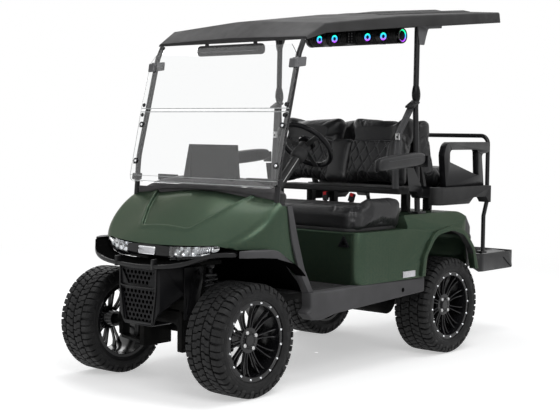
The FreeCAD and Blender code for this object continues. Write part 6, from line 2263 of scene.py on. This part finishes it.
@dataclass
class Cabin:
    """The dash with its soft box, the steering wheel, the column and the floor mat."""

    axis: Point = (0.0, DIAGONAL, DIAGONAL)
    hub: Point = (0.28, -0.4585, 1.195)

    def build(self) -> None:
        """Make every piece of the cabin."""
        self.dash()
        self.wheel()
        self.column()
        self.mat()

    def dash(self) -> None:
        """The dash copy, its pale crowned band behind the panes and the dark vents."""
        copy = frame_copy("dash_shell", "dash")
        finished(rounded(copy, 0.004, 3, 38.0), DASH_TOP, 40.0)
        retouched(copy, DARK, lambda c, n: c.z < 0.9 or c.z > 0.985 or n.y > 0.5)
        band = []
        for x in np.linspace(-0.47, 0.47, 49):
            share = abs(x) / 0.47
            crest = 1.034 - 0.07 * share ** 3.6
            y, z = -0.944 + 0.012 * share ** 2, 0.974 - 0.034 * share ** 2.6
            band.append(
                [(x, y, z - 0.012), (x, y, z), (x, y + 0.01, z + (crest - z) * 0.42),
                    (x, y + 0.028, z + (crest - z) * 0.8), (x, y + 0.052, crest - 0.003),
                    (x, y + 0.09, crest), (x, y + 0.118, crest - 0.01),
                    (x, y + 0.126, crest - 0.04), (x, y + 0.09, z - 0.014)])
        top = finished(smoothed(lofted("dash_band", band)), DASH_TOP, 50.0)
        vent = stretched(
            "vent", Axis.Z, [(0.25, -0.884, 0.006), (0.4, -0.872, 0.006), (0.396, -0.85, 0.006),
                (0.25, -0.862, 0.006)], 1.0, 1.031, 0.002)
        parts = [copy, top, finished(both(vent, "vents"), DARK)]
        placed(joined("dash_dressed", parts), Slot.DARK, "dash")

    def wheel(self) -> None:
        """A padded ring with grips, three broad spokes and a bright-rimmed hub pad."""
        place = Matrix.Translation(self.hub) @ Matrix(
            ((0, 1, 0), (DIAGONAL, 0, DIAGONAL), (DIAGONAL, 0, -DIAGONAL))).to_4x4()
        copy = finished(rounded(frame_copy("wheel_spokes", "steering_wheel"), 0.003), DARK)
        ring = turned("wheel_ring", [(u, 0.149 + v) for u, v in ring_of(0.0138, 20, 0.0142)], 96)
        pad = turned(
            "horn_pad", [(0.01, 0.0), (0.01, 0.044), (0.018, 0.046), (0.026, 0.042), (0.031, 0.03),
                (0.033, 0.0)], 40, closed=False)
        rim = turned("horn_rim", [(0.017, 0.0455), (0.02, 0.0475), (0.023, 0.0455)], 40)
        groove = turned("ring_band", [(u, v + 0.1355) for u, v in ring_of(0.003, 8)], 72)
        parts = [copy]
        for thing, finish in ((ring, DARK_GLOSS), (pad, DARK_GLOSS), (rim, BLACK_GLOSS),
                              (groove, BLACK_GLOSS)):
            parts.append(finished(thing, finish, 50.0, place))
        grip = [
            Vector((0.0142, 0.149 * math.cos(a), 0.149 * math.sin(a)))
            for a in np.linspace(0, math.tau, 97)]
        parts.append(moved(seam_line("grip_thread", [tuple(p) for p in grip], 0.008), place))
        placed(
            joined("hand_wheel_dressed", parts), Slot.DARK, "steering_wheel", body=Body.HAND_WHEEL)

    def column(self) -> None:
        """The column with its bright side bars and a soft shroud."""
        parts = [finished(rounded(frame_copy("column", "steering_column"), 0.002), DARK)]
        low, high = Vector((0.28, -0.848, 0.8055)), Vector((0.28, -0.52, 1.1335))
        side = Vector((0, DIAGONAL, -DIAGONAL))
        for x in (-0.0215, 0.0215):
            shift = Vector((x, 0, 0)) - side * 0.008
            bar = tube("column_bar", [tuple(low + shift), tuple(high + shift)], 0.0016, (1, 0, 0))
            parts.append(finished(bar, BARE, 60.0))
        shroud = turned(
            "shroud", [(0.0, 0.024), (0.004, 0.036), (0.02, 0.041), (0.06, 0.037), (0.072, 0.026)],
            40)
        spot = Vector(self.hub) - Vector(self.axis) * 0.105
        parts.append(finished(shroud, DARK, 60.0, facing(self.axis, tuple(spot))))
        placed(joined("column_dressed", parts), Slot.DARK, "steering_column")

    def mat(self) -> None:
        """Ribbed rubber laid on the floor, and the floor pan with painted shade on its front and
        downward faces.
        """
        base = slab("mat", Axis.Z, (-0.48, 0.48, -0.8, -0.362), 0.03, 0.4632, 0.4665, 0.0012)
        rib = stretched(
            "mat_rib", Axis.X,
            [(-0.784, 0.466), (-0.776, 0.466), (-0.778, 0.469), (-0.782, 0.469)], -0.46, 0.46)
        ribs = repeated(rib, "row", DARK, Count=25, Step=(0, 0.0168, 0))
        pan = finished(rounded(frame_copy("pan", "floor_pan"), 0.0015), DARK)
        # front and downward faces of the pan get near-black: painted shade
        retouched(pan, PAINTED_SHADE, lambda c, n: n.y < -0.3 or n.z < -0.3)
        placed(
            joined("floor_mat", [pan, finished(base, DARK), shaded(ribs, 20.0)]), Slot.DARK,
            "floor_pan")


@dataclass
class Tail:
    """The rear body's details, the tail lamps, the step, the springs and the roof's ridges."""

    def build(self) -> None:
        """Make every piece of the rear."""
        self.body()
        self.step()
        self.lamps()
        self.roof()
        self.springs()

    def body(self) -> None:
        """The painted tub with its charge socket and its bare plate, with painted shade under it,
        round the rear wheels and in the socket's hole.
        """
        copy = frame_copy("tub", "rear_body", 0.2)
        rounded(copy, 0.004, 3, 30.0)
        finished(copy, PAINT, 45.0)
        # downward faces and faces round the rear wheels get dark plastic: painted shade under the
        # tub and in its arches
        retouched(
            copy, DARK, lambda c, n: (n.z < -0.3 and c.z < 0.8)
            or (abs(c.x) < 0.548 and abs(c.y - REAR_AXLE) < 0.29 and c.z < 0.715))
        socket = stretched(
            "socket_face", Axis.Y,
            [(0.424, 0.664, 0.006), (0.462, 0.726, 0.006), (0.5, 0.664, 0.006)], -0.36, -0.347,
            0.002)
        # the socket's hole is near-black: painted shade
        hole = stretched(
            "socket_hole", Axis.Y,
            [(0.446, 0.676, 0.004), (0.462, 0.702, 0.004), (0.478, 0.676, 0.004)], -0.3612, -0.359,
            0.0004)
        plate = slab(
            "side_plate_bare", Axis.X, (0.03, 0.146, 0.478, 0.512), 0.003, 0.56, 0.5745, 0.0006)
        parts = [copy, finished(socket, DARK_GLOSS), finished(hole, PAINTED_SHADE), finished(plate, SATIN)]
        placed(joined("tub_dressed", parts), Slot.BODY_PAINT, "rear_body")

    def step(self) -> None:
        """A crowned step with rolled edges, a flared rear skirt and a studded tread."""
        plan = (
            (0.0, 0.8515, 1.413), (0.16, 0.8515, 1.413), (0.3, 0.852, 1.413), (0.37, 0.856, 1.413),
            (0.41, 0.88, 1.4125), (0.432, 0.93, 1.411), (0.445, 0.99, 1.408),
            (0.4525, 1.06, 1.402), (0.4548, 1.14, 1.385))
        rings = []
        for side in (-1, 1):
            rows = plan[:0:-1] if side < 0 else plan
            for x, front, back in rows:
                drop = 0.01 * (x / 0.4548) ** 4
                rim = 0.5325 - drop
                rings.append(
                    [(side * x, front, rim - 0.02), (side * x, front + 0.004, rim - 0.006),
                        (side * x, front + 0.016, rim), (side * x, (front + back) / 2, rim),
                        (side * x, back - 0.046, rim), (side * x, back - 0.034, rim - 0.003),
                        (side * x, back - 0.026, rim - 0.014), (side * x, back - 0.014, 0.47),
                        (side * x, back, 0.424), (side * x, back - 0.008, 0.4215),
                        (side * x, back - 0.026, 0.465), (side * x, back - 0.04, 0.5),
                        (side * x, front + 0.01, 0.5)])
        step = finished(smoothed(lofted("step_shell", rings)), STEEL, 60.0)
        stud = stretched(
            "tread_bar", Axis.X,
            [(1.128, 0.5318), (1.134, 0.5318), (1.133, 0.5332), (1.129, 0.5332)], -0.34, 0.34)
        studs = repeated(stud, "row", DARK, Count=13, Step=(0, 0.0175, 0))
        copy = finished(rounded(frame_copy("step_core", "foot_step"), 0.003), STEEL)
        with reshaped(copy) as shape:
            top = [f for f in shape.faces if f.calc_center_median().z > 0.503]
            bmesh.ops.delete(shape, geom=top, context="FACES")
        placed(joined("step_dressed", [step, shaded(studs), copy]), Slot.FRAME, "foot_step")

    def lamps(self) -> None:
        """Round dark tail lamps with red lenses and ringed reflectors."""
        place = facing((0, 1, 0), (0.44, 0.8446, 0.64))
        case = turned(
            "tail_case", [(0.0, 0.0), (0.0, 0.044), (0.008, 0.0438), (0.0135, 0.0405),
                (0.0135, 0.037), (0.01, 0.0365), (0.01, 0.0)], 48, closed=False)
        lens = turned(
            "tail_lens", [(0.0102, 0.0362), (0.013, 0.035), (0.0155, 0.024), (0.0156, 0.0)], 48,
            closed=False)
        parts = [finished(case, BLACK_GLOSS, 40.0, place), finished(lens, RED, 60.0, place)]
        for radius in (0.0085, 0.018, 0.027):
            ring = turned(
                "tail_ring", [(0.0148, radius - 0.0012), (0.0161 - radius * 0.03, radius),
                    (0.0148, radius + 0.0012)], 40)
            parts.append(finished(ring, BLACK_GLOSS, 60.0, place))
        placed(both(joined("tail_lamp", parts), "tail_lamps"), Slot.TAIL, "tail_lights")

    def roof(self) -> None:
        """The roof's copy, softened, with raised ridges at the rear and painted shade on its
        underside.
        """
        copy = frame_copy("roof_shell", "roof", 0.5)
        rounded(copy, 0.009, 4, 24.0)
        finished(copy, ROOF, 50.0)
        # downward faces get the darker plastic: painted shade under the roof
        retouched(copy, DARK, lambda c, n: n.z < -0.4)
        parts = [copy]
        for x in (-0.3, -0.1, 0.1, 0.3):
            ridge = []
            for y in np.linspace(0.1, 1.0, 19):
                rise = 0.0095 * min(1.0, (y - 0.1) / 0.25) * min(1.0, (1.0 - y) / 0.05 + 0.1)
                z = self.top(x, float(y))
                ridge.append(
                    [(x - 0.055, y, z - 0.002), (x - 0.035, y, z + rise * 0.9), (x, y, z + rise),
                        (x + 0.035, y, z + rise * 0.9), (x + 0.055, y, z - 0.002),
                        (x, y, z - 0.006)])
            parts.append(finished(lofted("roof_ridge", ridge), ROOF, 40.0))
        placed(joined("roof_dressed", parts), Slot.ROOF, "roof")

    def top(self, x: float, y: float) -> float:
        """The roof's height at a place, read from the frame."""
        thing = bpy.data.objects["roof"]
        hit = thing.ray_cast(Vector((x, y, 3.0)), Vector((0, 0, -1)))
        return hit[1].z if hit[0] else 2.0

    def springs(self) -> None:
        """Coil-over shocks at the front, with their rods, spring seats and eyes."""
        foot, head = Vector((0.268, -1.133, 0.215)), Vector((0.25, -1.133, 0.612))
        ahead = (head - foot).normalized()
        side = ahead.cross(Vector((0, 1, 0))).normalized()
        other = ahead.cross(side)
        start, stop = foot + ahead * 0.15, foot + ahead * 0.345
        turns, radius = 8.0, 0.029
        path = []
        for step in range(int(turns * 20) + 1):
            angle = math.tau * step / 20
            spot = start.lerp(stop, step / (turns * 20))
            path.append(spot + side * radius * math.cos(angle) + other * radius * math.sin(angle))
        coil = swept("coil", path, ring_of(0.0064, 8), tuple(ahead))
        parts = [finished(coil, STEEL, 60.0)]
        for low, high, size, finish in ((0.0, 0.17, 0.0165, STEEL), (0.17, 0.38, 0.01, DARK),
                                        (0.138, 0.15, 0.034, STEEL), (0.345, 0.358, 0.034, STEEL)):
            rod = disc("rod", size, low, high, 0.002, 24)
            parts.append(finished(rod, finish, place=facing(tuple(ahead), tuple(foot))))
        for spot in (foot, head):
            eye = disc("shock_eye", 0.015, -0.016, 0.016, 0.002, 24)
            moved(eye, facing((0, 1, 0), tuple(spot)))
            parts.append(finished(eye, STEEL))
        placed(both(joined("coil_over", parts), "coil_overs"), Slot.FRAME, "front_shocks")


@dataclass
class FrameCopies:
    """Rounded copies of frame parts that no other maker stands for."""

    sharp: float = 38.0
    plan: tuple[tuple[str, Finish, Body, Slot, float], ...] = (
        ("battery_pack", CHASSIS_STEEL, Body.CHASSIS, Slot.DARK, 0.003),
        ("cross_members", CHASSIS_STEEL, Body.CHASSIS, Slot.FRAME, 0.0015),
        ("frame_rails", CHASSIS_STEEL, Body.CHASSIS, Slot.FRAME, 0.002),
        ("front_struts", STEEL, Body.CHASSIS, Slot.FRAME, 0.0015),
        ("front_suspension", CHASSIS_STEEL, Body.CHASSIS, Slot.FRAME, 0.0015),
        ("grab_hoop", STEEL, Body.CHASSIS, Slot.FRAME, 0.0015),
        ("knuckle_left", CHASSIS_STEEL, Body.LEFT_KNUCKLE, Slot.BARE, 0.0015),
        ("knuckle_right", CHASSIS_STEEL, Body.RIGHT_KNUCKLE, Slot.BARE, 0.0015),
        ("pedals", DARK, Body.CHASSIS, Slot.DARK, 0.0015),
        ("rack_rods", CHASSIS_STEEL, Body.RACK, Slot.BARE, 0.001),
        ("rear_axle", CHASSIS_STEEL, Body.CHASSIS, Slot.FRAME, 0.002),
        ("rear_skirts", DARK, Body.CHASSIS, Slot.DARK, 0.004),
        ("rear_springs", CHASSIS_STEEL, Body.CHASSIS, Slot.FRAME, 0.0008),
        ("rear_struts", STEEL, Body.CHASSIS, Slot.FRAME, 0.0015),
        ("seat_frame", DARK, Body.CHASSIS, Slot.DARK, 0.0015),
        ("side_frames", STEEL, Body.CHASSIS, Slot.FRAME, 0.002))

    def build(self) -> None:
        """Copy each part, round its edges and give it its finish."""
        for node, finish, body, slot, width in self.plan:
            thing = rounded(frame_copy(f"{node}_dressed", node), width, 2, self.sharp)
            placed(finished(thing, finish), slot, node, body=body)


def main() -> None:
    """Load the frame and build every piece."""
    logging.basicConfig(level=logging.INFO)
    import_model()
    Studio().build()
    for maker in (FrameCopies(), Wheels(), Cowl(), Nose(), Screen(), SoundBar(), Seats(), Cabin(),
                  Tail()):
        maker.build()


if __name__ == "__main__":
    main()
